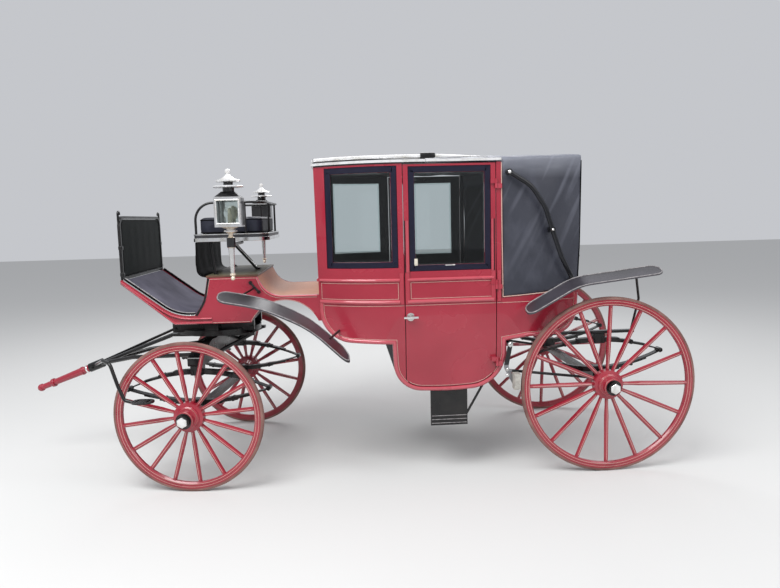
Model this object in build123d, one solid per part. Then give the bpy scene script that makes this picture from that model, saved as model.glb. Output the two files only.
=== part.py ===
"""Landaulet: a coach with a glazed front half, a leather hood over the rear seat and a driver's box.

The front wheels turn with the fore-carriage about the kingpin. Lengths are in millimetres.
Tables give x as the distance behind the kingpin, y to the coach's right and z above the ground.
The finished pieces are shifted so that x = 0 is the middle of the whole length.
"""

import os
from math import cos, radians, sin, tan

from build123d import *

os.makedirs("parts", exist_ok=True)

# Wheels and where they stand
front_radius = 483.0
rear_radius = 580.0
wheelbase = 2623.0
parked_turn = 7.13
tyre_thickness = 18.0
rim_depth = 40.0
rim_width = 34.0
spoke_count = 16
spoke_root_radius = 12.0
spoke_full_radius = 15.5
spoke_tip_radius = 13.5
dish = 24.0
hub_flange_radius = 95.0
hub_nose_radius = 56.0
hub_inner_reach = 112.0
hub_outer_reach = 90.0
cap_radius = 39.0
cap_reach = 20.0
nut_radius = 30.0
nut_reach = 14.0
arm_radius = 22.0
arm_clearance = 0.05
hub_end_gap = 1.0
front_spoke_phase = 7.0
rear_spoke_phase = -1.0

# Clearances between pieces
seat_gap = 0.3
door_gap = 5.0
pin_clearance = 0.05

# Coach body
front_x = 740.0
rear_x = 2508.0
side_front_x = 1290.0
side_rear_x = 1930.0
half_width = 660.0
track = 2 * (half_width + 54)
front_half_width = half_width - 190
rear_half_width = half_width - 138
turn_under_width = half_width - 54
turn_under_z = 1150.0
body_low_z = 500.0
wall = 32.0
roof_edge_z = 2065.0
roof_crown_z = 2115.0
roof_split_z = 2036.0
roof_joint_x = 1450.0
band = 28.0
door_front_x = 1302.0
door_rear_x = 1900.0
door_top_z = 2034.0
pillar_rear_x = 1931.0
frame_recess = 8.0
sash_width = 40.0
glass_inset = 12.0
glass_thickness = 6.0
quarter_joint_x = 1600.0
front_wall_x = 800.0
rear_wall_x = 2430.0
drip_low_z = 2044.0
drip_height = 16.0
drip_reach = 14.0

# Driver's box
box_half_width = 480.0
panel = 28.0
box_bottom_z = 1040.0
box_top_z = 1342.0
neck_top_z = 1210.0
arch_x = 520.0
arch_z = 938.0
arch_radius = 242.0
board = 20.0
lid_thickness = 14.0
dash_x = -516.0
dash_top_z = 1757.0
dash_half_width = box_half_width - 30
dash_leather = 10.0
dash_rod_radius = 9.0

# Driver's seat
seat_front_x = -52.0
seat_rear_x = 425.0
seat_half_width = box_half_width - 40
seat_z = 1575.0
seat_board = 50.0
cushion_height = 104.0
rail_radius = 8.0
rail_top_z = 1828.0

# Lamps
lamp_x = 250.0
lamp_y = 800.0
lamp_side = 155.0
lamp_body_low_z = 1671.0
lamp_body_high_z = 1847.0
lamp_wall = 8.0

# Fore-carriage
ring_outer = 300.0
ring_inner = 250.0
ring_thickness = 18.0
ring_low_z = 925.0
kingpin_radius = 18.0
front_spring_y = track / 2 - 214
front_spring_half = 470.0
front_eye_z = 615.0
front_spring_top_z = 745.0
front_spring_low_z = 508.0
front_bed_low_z = 770.0

# Rear gear
rear_spring_y = track / 2 - 194
rear_spring_half = 430.0
rear_eye_z = 760.0
rear_spring_top_z = 862.0
rear_spring_low_z = 628.0
body_rear_z = 907.0

leaf_thickness = 8.0
leaf_width = 44.0
leaf_count = 4
eye_radius = 16.0

# Mudguards
guard_y = track / 2 + 18
guard_width = 142.0
guard_thickness = 8.0
guard_end_radius = 60.0

rim_y = track / 2
pole_root = Vector(-1000, 0, 648)
pole_angle = 20.8
pole_length = 440.0
pole_tip_radius = 24.0


def rounded_face(corners):
    """Face inside a closed outline; each row is (first, second, corner radius)."""
    points = [Vector(row[0], row[1]) for row in corners]
    stops = []
    for index, (here, row) in enumerate(zip(points, corners)):
        radius = row[2]
        behind = (points[index - 1] - here).normalized()
        ahead = (points[(index + 1) % len(points)] - here).normalized()
        if radius == 0:
            stops.append((here, None, here))
            continue
        half_turn = radians(behind.get_angle(ahead)) / 2
        reach = radius / tan(half_turn)
        centre = here + (behind + ahead).normalized() * (radius / sin(half_turn))
        middle = centre + (here - centre).normalized() * radius
        stops.append((here + behind * reach, middle, here + ahead * reach))
    edges = []
    for index, (start, middle, end) in enumerate(stops):
        if middle is not None:
            edges.append(ThreePointArc(start, middle, end))
        following = stops[(index + 1) % len(stops)][0]
        if (following - end).length > 0.001:
            edges.append(Line(end, following))
    return Face(Wire(edges))


def side_slab(face, y_from, y_to):
    """Solid of a side view, drawn in x and z, between two y positions."""
    return extrude(Plane.XZ.offset(-y_to) * face, y_to - y_from, dir=(0, -1, 0))


def plan_slab(face, z_from, z_to):
    """Solid of a plan, drawn in x and y, between two heights."""
    return extrude(Plane.XY.offset(z_from) * face, z_to - z_from, dir=(0, 0, 1))


def cross_slab(face, x_from, x_to):
    """Solid of a front view, drawn in y and z, between two x positions."""
    return extrude(Plane.YZ.offset(x_from) * face, x_to - x_from, dir=(1, 0, 0))


def block(x_from, x_to, y_from, y_to, z_from, z_to):
    """Plain block between two positions on each axis."""
    middle = Pos((x_from + x_to) / 2, (y_from + y_to) / 2, (z_from + z_to) / 2)
    return middle * Box(x_to - x_from, y_to - y_from, z_to - z_from)


def rod(points, radius, bend=30.0):
    """Round bar along points, each inner corner bent to the same radius."""
    path = FilletPolyline(*points, radius=bend) if len(points) > 2 else Line(*points)
    section = Plane(origin=path @ 0, z_dir=path % 0) * Circle(radius)
    return sweep(section, path=path)


def strip_face(rows, thickness):
    """Bent strip in a view; rows are (first, second, bend radius), thickness goes to the left of them."""
    points = [Vector(row[0], row[1]) for row in rows]
    runs = [(after - before).normalized() for before, after in zip(points, points[1:])]
    normals = [Vector(-run.Y, run.X) for run in runs]
    shifted = [(points[0] + normals[0] * thickness, 0)]
    for index in range(1, len(points) - 1):
        first, second = normals[index - 1], normals[index]
        left_turn = runs[index - 1].cross(runs[index]).Z > 0
        radius = rows[index][2] - thickness if left_turn else rows[index][2] + thickness
        shift = (first + second) * (thickness / (1 + first.dot(second)))
        shifted.append((points[index] + shift, radius))
    shifted.append((points[-1] + normals[-1] * thickness, 0))
    return rounded_face(list(rows) + [(point.X, point.Y, radius) for point, radius in shifted[::-1]])


def turned_face(rows):
    """Half outline of a turned piece, rows (radius, height), as a face in the x-z plane."""
    return Plane.XZ * Face(Wire(Polyline(*rows, close=True).edges()))


def grown(face, amount):
    """A face with its outline moved outwards or, below zero, inwards."""
    return offset(face, amount, kind=Kind.INTERSECTION).face() if amount else face


def both_sides(shape):
    """A piece and its mirror image across the coach."""
    return Part() + [shape, mirror(shape, about=Plane.XZ)]


def turned(shape):
    """A fore-carriage piece, turned about the kingpin as the coach is parked."""
    return Rot(0, 0, -parked_turn) * shape


pole_run = Vector(-cos(radians(pole_angle)), 0, -sin(radians(pole_angle)))
pieces = {}


# Coach body: one envelope gives every wall, door, pane and the hood its outline
side_outline = [
    # x, z, corner radius
    (front_x, 2200, 0),
    (front_x + 14, 906, 205),
    (1218, 888, 0),
    (1234, 572, 190),
    (1600, 558, 1500),
    (1915, 580, 240),
    (1966, 800, 100),
    (1962, 886, 0),
    (2100, body_rear_z, 200),
    (2462, body_rear_z, 175),
    (2482, 1240, 0),
    (rear_x, roof_crown_z + 1, 70),
    (rear_x - 300, 2200, 0),
]


def plan_face():
    """The coach seen from above: straight doors, round front quarters and tapered rear quarters."""
    edges = [
        Line((front_x, -front_half_width), (front_x, front_half_width)),
        Line((rear_x, rear_half_width), (rear_x, -rear_half_width)),
    ]
    for side in (-1, 1):
        near, front, rear = side * half_width, side * front_half_width, side * rear_half_width
        edges.append(TangentArc((side_front_x, near), (front_x, front), tangent=(-1, 0)))
        edges.append(Line((side_front_x, near), (side_rear_x, near)))
        edges.append(TangentArc((side_rear_x, near), (rear_x, rear), tangent=(1, 0)))
    return Face(Wire(edges))


def section_face():
    """The coach seen from the front: turned in towards the floor, with a crowned roof."""
    reach = half_width + 40
    drop = (roof_crown_z - roof_edge_z) * (reach / half_width) ** 2
    top, low = roof_crown_z - drop, turn_under_z + 60
    edges = [
        Line((-turn_under_width, body_low_z), (turn_under_width, body_low_z)),
        ThreePointArc((reach, top), (0, roof_crown_z), (-reach, top)),
    ]
    for side in (-1, 1):
        foot, waist = side * turn_under_width, side * (half_width + 3)
        middle = side * (half_width - (half_width - turn_under_width) * 0.23)
        edges.append(ThreePointArc((foot, body_low_z), (middle, (body_low_z + low) / 2), (waist, low)))
        edges.append(Line((waist, low), (side * reach, low)))
        edges.append(Line((side * reach, low), (side * reach, top)))
    return Face(Wire(edges))


def coach_solid(grow):
    """The coach's outer form, grown outwards or, below zero, shrunk inwards."""
    side = grown(rounded_face(side_outline), grow)
    form = plan_slab(grown(plan_face(), grow), body_low_z - 40, 2300)
    form = form & side_slab(side, -half_width - 60, half_width + 60)
    return form & cross_slab(grown(section_face(), grow), front_x - 60, rear_x + 60)


def core_solid(grow):
    """What lies between the side walls: the plan and the front view, without the side outline."""
    form = plan_slab(grown(plan_face(), grow), body_low_z - 40, 2300)
    return form & cross_slab(grown(section_face(), grow), front_x - 60, rear_x + 60)


outer = coach_solid(0)
inner = coach_solid(-wall)
fitted = coach_solid(-wall - seat_gap)
shell = outer - inner
coach_fit = coach_solid(seat_gap)
reach = half_width + 60
walls = shell & block(front_wall_x, rear_wall_x, -reach, reach, body_low_z - 60, 2300)


def door_outline(inset):
    """Door opening in side view, drawn in by an inset; its foot follows the body's lower band."""
    zone = side_slab(grown(rounded_face(side_outline), -band - inset), -reach, reach)
    top = roof_split_z - inset
    return zone & block(door_front_x + inset, door_rear_x - inset, -reach, reach, 500, top)


side_windows = {
    # name: x from, x to, z from, z to, of the recessed frame round each pane
    "quarter": (812, 1268, 1382, 2024),
    "door": (1338, 1864, 1357, 2018),
}
front_windows = [
    # y from, y to, z from, z to, of the frame round each pane in the front wall
    (-425, -12, 1400, 2005),
    (12, 425, 1400, 2005),
]


def side_window(row, inset):
    """Block through both side walls at a window, its edges drawn in by an inset."""
    x_from, x_to, z_from, z_to = row
    return block(x_from + inset, x_to - inset, -reach, reach, z_from + inset, z_to - inset)


def front_window(row, inset, x_from, x_to):
    """Block through the front wall at a window, its edges drawn in by an inset."""
    y_from, y_to, z_from, z_to = row
    return block(x_from, x_to, y_from + inset, y_to - inset, z_from + inset, z_to - inset)


recess = outer - coach_solid(-frame_recess)
side_recesses = recess & (Part() + [side_window(row, 0) for row in side_windows.values()])
side_holes = Part() + [side_window(row, sash_width) for row in side_windows.values()]
pane_layer = coach_solid(-glass_inset) - coach_solid(-glass_inset - glass_thickness)
core = core_solid(-wall)
core_fit = core_solid(-wall - seat_gap)
left = block(0, 3500, -reach, 0, 0, 2500)
right = block(0, 3500, 0, reach, 0, 2500)
hood_face = rounded_face(
    [
        (roof_joint_x + 1, roof_split_z, 0),
        (pillar_rear_x, roof_split_z, 0),
        (pillar_rear_x, 1171, 0),
        (2229, 1187, 900),
        (2600, 1275, 0),
        (2700, 2400, 0),
        (roof_joint_x + 1, 2400, 0),
    ]
)
hood_zone = side_slab(hood_face, -reach, reach)
hood_seat = side_slab(grown(hood_face, seat_gap), -reach, reach)
below_roof = block(0, 3500, -reach, reach, 400, roof_split_z - seat_gap)

side_walls = ((walls - core) & below_roof) - door_outline(0) - side_recesses - side_holes
pieces["front_quarters"] = side_walls & block(0, quarter_joint_x, -reach, reach, 0, 2500)
pieces["rear_quarters"] = (side_walls & block(quarter_joint_x, 3500, -reach, reach, 0, 2500)) - hood_seat
pieces["cabin_floor"] = walls & core_fit & block(0, 3500, -reach, reach, 400, 1300)
front_wall = shell & block(0, front_wall_x, -reach, reach, 0, roof_split_z - seat_gap)
for row in front_windows:
    front_wall = front_wall - front_window(row, 0, 0, front_x + frame_recess)
    front_wall = front_wall - front_window(row, sash_width, 0, front_wall_x)
pieces["front_wall"] = front_wall
pieces["rear_wall"] = (shell & block(rear_wall_x, 3500, -reach, reach, 0, 2500)) - hood_seat
pieces["roof"] = shell & block(0, roof_joint_x - 1, -reach, reach, roof_split_z, 2500)
pieces["hood"] = shell & hood_zone

quarter_panes = pane_layer & side_window(side_windows["quarter"], sash_width + seat_gap)
front_panes = [
    front_window(row, sash_width + seat_gap, front_x + glass_inset, front_x + glass_inset + glass_thickness)
    for row in front_windows
]
pieces["fixed_glass"] = Part() + [quarter_panes] + front_panes

# Doors, hung on three hinges at the rear edge
hinge_x = door_rear_x - door_gap / 2
hinge_y = -(half_width + 11)
hinge_radius = 9.0
hinge_pin_radius = 4.0
hinge_half = 30.0
hinge_heights = [755, 1260, 1900]
door_leaf = ((walls - core) & door_outline(door_gap)) - side_recesses - side_holes
left_door = door_leaf & left
body_knuckles = Part()
for z in hinge_heights:
    plate_from = -half_width + 20 if z > turn_under_z else -half_width + 40
    knuckle = Pos(hinge_x, hinge_y, z + hinge_half / 2) * Cylinder(hinge_radius, hinge_half)
    knuckle += block(hinge_x - 36, hinge_x, hinge_y - 2, plate_from, z, z + hinge_half) - coach_fit
    knuckle += block(hinge_x - 36, hinge_x - door_gap, hinge_y - 2, plate_from, z, z + hinge_half)
    knuckle -= Pos(hinge_x, hinge_y, z + hinge_half / 2) * Cylinder(
        hinge_pin_radius + pin_clearance, hinge_half
    )
    left_door += knuckle - (coach_fit & block(hinge_x - door_gap / 2, 3500, -reach, 0, 0, 2500))
    lower = Pos(hinge_x, hinge_y, z - hinge_half / 2 - 0.5) * Cylinder(hinge_radius, hinge_half)
    lower += Pos(hinge_x, hinge_y, z) * Cylinder(hinge_pin_radius, hinge_half * 2 - 4)
    lower += block(hinge_x, hinge_x + 36, hinge_y - 2, plate_from, z - hinge_half - 0.5, z - 0.5) - coach_fit
    body_knuckles += lower
pieces["door_hinges"] = both_sides(body_knuckles)
pieces["left_door"] = left_door
pieces["right_door"] = mirror(left_door, about=Plane.XZ)
left_pane = pane_layer & side_window(side_windows["door"], sash_width + seat_gap) & left
pieces["left_door_glass"] = left_pane
pieces["right_door_glass"] = mirror(left_pane, about=Plane.XZ)

handle_x, handle_z = 1338.0, 1066.0
handle = Pos(handle_x, -half_width, handle_z) * Rot(90, 0, 0) * Cylinder(26, 16)
handle += Pos(handle_x, -half_width - 20, handle_z) * Rot(90, 0, 0) * Cylinder(8, 40)
handle += Pos(handle_x, -half_width - 38, handle_z) * Rot(0, 90, 0) * Cylinder(8, 92)
handle = handle - coach_fit
pieces["left_door_handle"] = handle
pieces["right_door_handle"] = mirror(handle, about=Plane.XZ)

# Drip mouldings round the roof and along the hood's top
drip_zone = block(0, pillar_rear_x, -reach, reach, drip_low_z, drip_low_z + drip_height)
drip = (coach_solid(drip_reach) - coach_fit) & drip_zone
pieces["drip_rails"] = drip - block(roof_joint_x - 1, roof_joint_x + 1, -reach, reach, 2000, 2100)

# Landau irons: the folding hood's S-shaped stays
iron_rows = [
    # x, reach beyond the half width, z
    (1976, 30, 1969),
    (2120, 22, 1880),
    (2215, 8, 1740),
    (2262, 0, 1600),
    (2330, -20, 1420),
    (2420, -56, 1265),
]
iron_path = [(x, -half_width - beyond, z) for x, beyond, z in iron_rows]
iron = rod(iron_path, 9, 60)
for x, y, z in (iron_path[0], iron_path[3], iron_path[5]):
    iron += Pos(x, y + 24, z) * Rot(90, 0, 0) * Cylinder(19, 72)
pieces["landau_irons"] = both_sides(iron - coach_fit)

# Seats inside the cabin
rear_bench_x = 1990.0
rear_bench_z = 1150.0
front_bench_x = 1120.0
front_bench_z = 1120.0
rear_bench = fitted & block(rear_bench_x, 2480, -reach, reach, 0, rear_bench_z)
front_bench = fitted & block(0, front_bench_x, -reach, reach, 0, front_bench_z)
pieces["cabin_benches"] = Part() + [rear_bench, front_bench]
soft_room = coach_solid(-wall - 1)
back_face = rounded_face(
    [
        (2310, rear_bench_z + seat_gap, 0),
        (2350, 1770, 40),
        (2600, 1770, 0),
        (2600, rear_bench_z + seat_gap, 0),
    ]
)
pieces["cabin_cushions"] = Part() + [
    soft_room & block(rear_bench_x - 15, 2307, -reach, reach, rear_bench_z + seat_gap, rear_bench_z + 112),
    soft_room & side_slab(back_face, -reach, reach),
    soft_room & block(0, front_bench_x - 10, -reach, reach, front_bench_z + seat_gap, front_bench_z + 62),
]

# Driver's box: two sides joined by boards, with an arch for the wheels to turn under
side_board_face = rounded_face(
    [
        (dash_x - dash_rod_radius, box_top_z + 1, 0),
        (dash_x + dash_rod_radius, box_top_z + 1, 0),
        (-190, 1100, 280),
        (-62, 1098, 0),
        (-2, 1190, 200),
        (28, box_top_z, 0),
        (351, box_top_z, 0),
        (415, neck_top_z, 150),
        (front_x + 60, neck_top_z, 0),
        (front_x + 60, box_bottom_z - 6, 0),
        (294, box_bottom_z, 0),
        (-197, box_bottom_z, 30),
        (dash_x - dash_rod_radius, 1317, 0),
    ]
)
arch = Pos(arch_x, 0, arch_z) * Rot(90, 0, 0) * Cylinder(arch_radius, 2 * box_half_width + 20)
box_side = side_slab(side_board_face, -box_half_width, -box_half_width + panel)
pieces["box_sides"] = both_sides(box_side - arch - coach_fit)
between = box_half_width - panel - seat_gap
footboard_rows = [(dash_x - 3, box_top_z - 8, 0), (-188, 1092, 270), (-40, 1092, 0)]
pieces["footboard"] = side_slab(strip_face(footboard_rows, -board), -between, between)
riser_rows = [(-76, 1072, 0), (-2, 1190, 200), (31, box_top_z + 15, 0)]
riser = side_slab(strip_face(riser_rows, -board), -between, between)
riser = riser & block(-200, 100, -between, between, 1092 + seat_gap, box_top_z)
arch_board = Pos(arch_x, 0, arch_z) * Rot(90, 0, 0) * Cylinder(arch_radius + 11.7, 2 * between)
arch_board = (arch_board - arch) & block(292, front_x + 60, -between, between, box_bottom_z, 1300)
floor_plank = block(-175, 290, -between, between, box_bottom_z, box_bottom_z + board)
pieces["seat_box"] = Part() + [riser, floor_plank, arch_board - coach_fit]
pieces["box_lid"] = block(
    24, 356, -box_half_width, box_half_width, box_top_z + seat_gap, box_top_z + lid_thickness
)
neck_rows = [(353, box_top_z - seat_gap, 0), (415, neck_top_z, 150), (front_x + 60, neck_top_z, 0)]
neck = side_slab(strip_face(neck_rows, -18), -between, between)
pieces["neck_board"] = neck - coach_fit

# Dashboard in its iron frame
dash_bottom_z = box_top_z + 1 + seat_gap
dash_outer = rounded_face(
    [
        (-dash_half_width - 16, dash_bottom_z, 0),
        (dash_half_width + 16, dash_bottom_z, 0),
        (dash_half_width + 16, dash_top_z, 70),
        (-dash_half_width - 16, dash_top_z, 70),
    ]
)
dash_inner = grown(dash_outer, -2 * dash_rod_radius)
dash_panel = grown(dash_outer, -2 * dash_rod_radius - seat_gap)
frame = cross_slab(dash_outer, dash_x - dash_rod_radius, dash_x + dash_rod_radius)
pieces["dashboard_frame"] = frame - cross_slab(dash_inner, dash_x - 20, dash_x + 20)
pieces["dashboard"] = cross_slab(dash_panel, dash_x - dash_leather / 2, dash_x + dash_leather / 2)

# Driver's seat on its irons
seat_face = rounded_face(
    [
        (seat_front_x, -seat_half_width, 30),
        (seat_rear_x, -seat_half_width, 120),
        (seat_rear_x, seat_half_width, 120),
        (seat_front_x, seat_half_width, 30),
    ]
)
seat_top_z = seat_z + seat_board
pieces["driver_seat"] = plan_slab(seat_face, seat_z, seat_top_z)
cushion_face = grown(seat_face, -27)
pieces["driver_cushion"] = plan_slab(cushion_face, seat_top_z + seat_gap, seat_top_z + cushion_height)
rail_y = seat_half_width - 12
rail_front_x = seat_front_x + 16
rail_rear_x = seat_rear_x - 13
rail_points = [
    (rail_front_x, -rail_y, seat_top_z + seat_gap),
    (rail_front_x, -rail_y, rail_top_z),
    (rail_rear_x, -rail_y, rail_top_z),
    (rail_rear_x, rail_y, rail_top_z),
    (rail_front_x, rail_y, rail_top_z),
    (rail_front_x, rail_y, seat_top_z + seat_gap),
]
rail = rod(rail_points, rail_radius, 115)
for x, y in ((seat_rear_x - 140, rail_y), (rail_rear_x, seat_half_width - 240)):
    for side in (-1, 1):
        rail += rod([(x, side * y, seat_top_z + seat_gap), (x, side * y, rail_top_z)], rail_radius - 1)
pieces["seat_rail"] = rail
under_seat = block(-300, 600, -reach, reach, 1096, seat_z - seat_gap)
apron_rows = [(-46, seat_z + 15, 0), (-52, 1440, 400), (-44, 1352, 50), (21, 1338, 0)]
pieces["seat_apron"] = side_slab(strip_face(apron_rows, 7), -between + 20, between - 20) & under_seat
on_lid = block(-300, 600, -reach, reach, box_top_z + lid_thickness + seat_gap, seat_z - seat_gap)
upright_y = seat_half_width - 60
brace = rod([(92, 0, seat_z + 20), (312, 0, box_top_z - 6)], 11) & on_lid
upright = rod([(40, -upright_y, seat_z + 20), (66, -upright_y, box_top_z - 6)], 9) & on_lid
lamp_arm_radius = 10.0
lamp_arm_z = seat_z - lamp_arm_radius - seat_gap
lamp_arm_ends = [(lamp_x, y, lamp_arm_z) for y in (70 - seat_half_width, -lamp_y + 26 + seat_gap)]
lamp_arm = rod(lamp_arm_ends, lamp_arm_radius)
pieces["seat_irons"] = both_sides(upright + lamp_arm) + brace

# Lamps: a turned post, a glazed square body and a chimney with two rims
post_rows = [
    # radius, z
    (0, 1349), (10, 1352), (14, 1364), (9, 1376), (17, 1380), (17, 1388), (11, 1392), (15, 1543),
    (26, 1549), (26, 1606), (14, 1612), (14, 1630), (36, 1642), (36, 1650), (20, 1658),
    (60, lamp_body_low_z + 1), (0, lamp_body_low_z + 1),
]
chimney_rows = [
    (0, 1878), (34, 1878), (34, 1904), (88, 1906), (88, 1912), (28, 1914), (28, 1936), (70, 1940),
    (70, 1946), (38, 1958), (20, 1972), (9, 1984), (16, 1992), (16, 2004), (9, 2013), (0, 2015),
]
lamp_mid_z = (lamp_body_low_z + lamp_body_high_z) / 2
lamp_height = lamp_body_high_z - lamp_body_low_z
lamp = Pos(0, 0, lamp_mid_z) * Box(lamp_side, lamp_side, lamp_height)
lamp -= Pos(0, 0, lamp_mid_z) * Box(
    lamp_side - 2 * lamp_wall, lamp_side - 2 * lamp_wall, lamp_height - 2 * lamp_wall
)
pane_side, pane_height = lamp_side - 32, lamp_height - 30
lamp -= Pos(0, -lamp_side / 2, lamp_mid_z) * Box(pane_side, lamp_side / 2, pane_height)
lamp -= Pos(-lamp_side / 2, 0, lamp_mid_z) * Box(lamp_side / 2, pane_side, pane_height)
shoulder = loft(
    [
        (Pos(0, 0, lamp_body_high_z) * Rectangle(lamp_side - 6, lamp_side - 6)).face(),
        (Pos(0, 0, 1880) * Rectangle(74, 74)).face(),
    ],
    ruled=True,
)
lamp += shoulder
lamp += revolve(turned_face(post_rows), axis=Axis.Z)
lamp += revolve(turned_face(chimney_rows), axis=Axis.Z)
lamp_place = Pos(lamp_x, -lamp_y, 0)
pieces["lamps"] = both_sides(lamp_place * lamp)
pane = Pos(0, -lamp_side / 2 + lamp_wall / 2, lamp_mid_z) * Box(
    pane_side - 2 * seat_gap, 3, pane_height - 2 * seat_gap
)
side_pane = Pos(-lamp_side / 2 + lamp_wall / 2, 0, lamp_mid_z) * Box(
    3, pane_side - 2 * seat_gap, pane_height - 2 * seat_gap
)
pieces["lamp_glass"] = both_sides(lamp_place * (Part() + [pane, side_pane]))

# Mudguards, rounded at both ends in plan, their outer edges lower than the inner ones
guards = {
    # name: fall across the width, rows of x, z, bend radius along the underside of the inner edge
    "front_guards": (52, [(135, 1268, 0), (400, 1218, 900), (690, 1082, 700), (940, 840, 0)]),
    "rear_guards": (42, [(2071, 1100, 0), (2400, 1282, 350), (2952, 1345, 0)]),
}
guard_inner_y = -guard_y + guard_width / 2


def guard_slab(fall, rows, thickness, width):
    """Strip that slopes down from its inner edge, wide enough to cut with or as wide as a guard."""
    slope = Vector(0, -guard_width, -fall).normalized()
    face = Plane.XZ.offset(-guard_inner_y) * strip_face(rows, thickness)
    return extrude(face, width / guard_width * Vector(0, guard_width, fall).length, dir=slope)


for name, (fall, rows) in guards.items():
    first_x, last_x = rows[0][0], rows[-1][0]
    ends = [
        (first_x, guard_inner_y - guard_width), (last_x, guard_inner_y - guard_width),
        (last_x, guard_inner_y), (first_x, guard_inner_y),
    ]
    plan = rounded_face([(x, y, guard_end_radius) for x, y in ends])
    guard = guard_slab(fall, rows, guard_thickness, guard_width) & plan_slab(plan, 500, 1800)
    pieces[name] = both_sides(guard)


def spring(half_span, eye_z, top_z, low_z, seat_top, seat_low):
    """Full elliptic leaf spring centred on x = 0 and y = 0, with its eyes and clips."""
    shape = Part()
    stack = leaf_count * leaf_thickness
    for side, tip_z in ((1, top_z), (-1, low_z)):
        rise = abs(tip_z - eye_z) - stack
        radius = (half_span**2 + rise**2) / (2 * rise)
        centre = Pos(0, 0, eye_z + side * (rise - radius)) * Rot(90, 0, 0)
        for leaf in range(leaf_count):
            inner_radius = radius + leaf * leaf_thickness
            band_solid = centre * Cylinder(inner_radius + leaf_thickness, leaf_width)
            band_solid -= centre * Cylinder(inner_radius, leaf_width)
            length = half_span * (1 - 0.22 * leaf)
            z_range = sorted((eye_z - side * 20, eye_z + side * 400))
            shape += band_solid & block(-length, length, -leaf_width, leaf_width, *z_range)
    for x in (-half_span, half_span):
        shape += Pos(x, 0, eye_z) * Rot(90, 0, 0) * Cylinder(eye_radius, leaf_width + 8)
    shape += block(-40, 40, -30, 30, top_z - stack - 6, seat_top - seat_gap)
    shape += block(-40, 40, -30, 30, seat_low + seat_gap, low_z + stack + 6)
    return shape


def axle(wheel_radius):
    """Axle bed with its two arms, centred on x = 0."""
    bed_end = rim_y - hub_inner_reach - hub_end_gap
    arm_end = rim_y + hub_outer_reach - 14
    low_z, high_z = wheel_radius - arm_radius, wheel_radius + arm_radius
    shape = block(-arm_radius, arm_radius, -bed_end, bed_end, low_z, high_z)
    return shape + Pos(0, 0, wheel_radius) * Rot(90, 0, 0) * Cylinder(arm_radius, 2 * arm_end)


# Rear axle, springs and the irons that carry the body
rear_seat = rear_radius + arm_radius
bar_low_z = body_rear_z - seat_gap - 18
rear_spring = spring(rear_spring_half, rear_eye_z, rear_spring_top_z, rear_spring_low_z, bar_low_z, rear_seat)
pieces["rear_springs"] = both_sides(Pos(wheelbase, -rear_spring_y, 0) * rear_spring)
pieces["rear_axle"] = Pos(wheelbase, 0, 0) * axle(rear_radius)
past_edge = Pos(0, 1, 0)
under_guard = {
    name: past_edge * guard_slab(fall, rows, 60, guard_width + 60) for name, (fall, rows) in guards.items()
}
on_front_guard = Part() + [
    past_edge * guard_slab(*guards["front_guards"], depth, guard_width + 60)
    for depth in (guard_thickness + 2 * seat_gap, -60)
]
bar = block(2150, 2870, -rear_spring_y - 20, -rear_spring_y + 20, bar_low_z, bar_low_z + 18) - coach_fit
stay = rod([(2855, -rear_spring_y, bar_low_z + 10), (2855, -630, 1130), (2795, -704, 1340)], 8, 40)
stay -= under_guard["rear_guards"]
outside_box = block(0, 1000, -reach - 200, -box_half_width - seat_gap, 0, 2000)
bracket_ends = {
    # bracket: (x, y, z) in the body, (x, y, z) in the guard
    "front": [(345, 10 - box_half_width, 1190), (300, guard_inner_y - 45, 1236)],
    "tail": [(900, -front_half_width - 30, 985), (815, guard_inner_y - 51, 950)],
    "rear": [(2200, 100 - half_width, 1130), (2232, guard_inner_y - 45, 1182)],
}
front_bracket = (rod(bracket_ends["front"], 8) & outside_box) - under_guard["front_guards"]
tail_bracket = rod(bracket_ends["tail"], 8) - coach_fit - on_front_guard
rear_bracket = rod(bracket_ends["rear"], 8) - coach_fit - under_guard["rear_guards"]
pieces["body_irons"] = both_sides(Part() + [bar + stay, front_bracket, tail_bracket, rear_bracket])

# Brake: a cross shaft, two hanging arms with wooden blocks, and rods back to the axle
shaft_x, shaft_z, brake_arm_y = 1985.0, 866.0, half_width + 12
brake = rod([(shaft_x, 0, shaft_z), (shaft_x, -brake_arm_y, shaft_z)], 12)
arm_rows = [(shaft_x - 12, shaft_z + 16, 0), (1940, 712, 60), (2000, 596, 0)]
brake += side_slab(strip_face(arm_rows, 28), -brake_arm_y - 6, -brake_arm_y + 6)
brake += block(1996, 2035, -rim_y - 17, -brake_arm_y, 575, 680)
brake += rod([(1975, -brake_arm_y + 10, 690), (wheelbase - arm_radius - seat_gap, -570, 590)], 9) & block(
    0, wheelbase - arm_radius - seat_gap, -reach, 0, 0, 1000
)
brake += block(shaft_x - 12, shaft_x + 12, -465, -435, shaft_z, 900) - coach_fit
pieces["brake_gear"] = both_sides(brake)

# Passenger steps: a hanging plate and its stay under each door
step_x_from, step_x_to, step_y, step_low_z = 1465.0, 1711.0, half_width - 60, 320.0
step = block(step_x_from, step_x_to, -step_y, -step_y + 12, step_low_z, 566)
for x in (step_x_from + 15, step_x_to - 45):
    step += block(x, x + 30, -step_y, -step_y + 12, 500, 640)
step += rod([(1862, -step_y + 15, 660), (1701, -step_y + 6, 385)], 8)
pieces["steps"] = both_sides(step - coach_fit)

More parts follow.
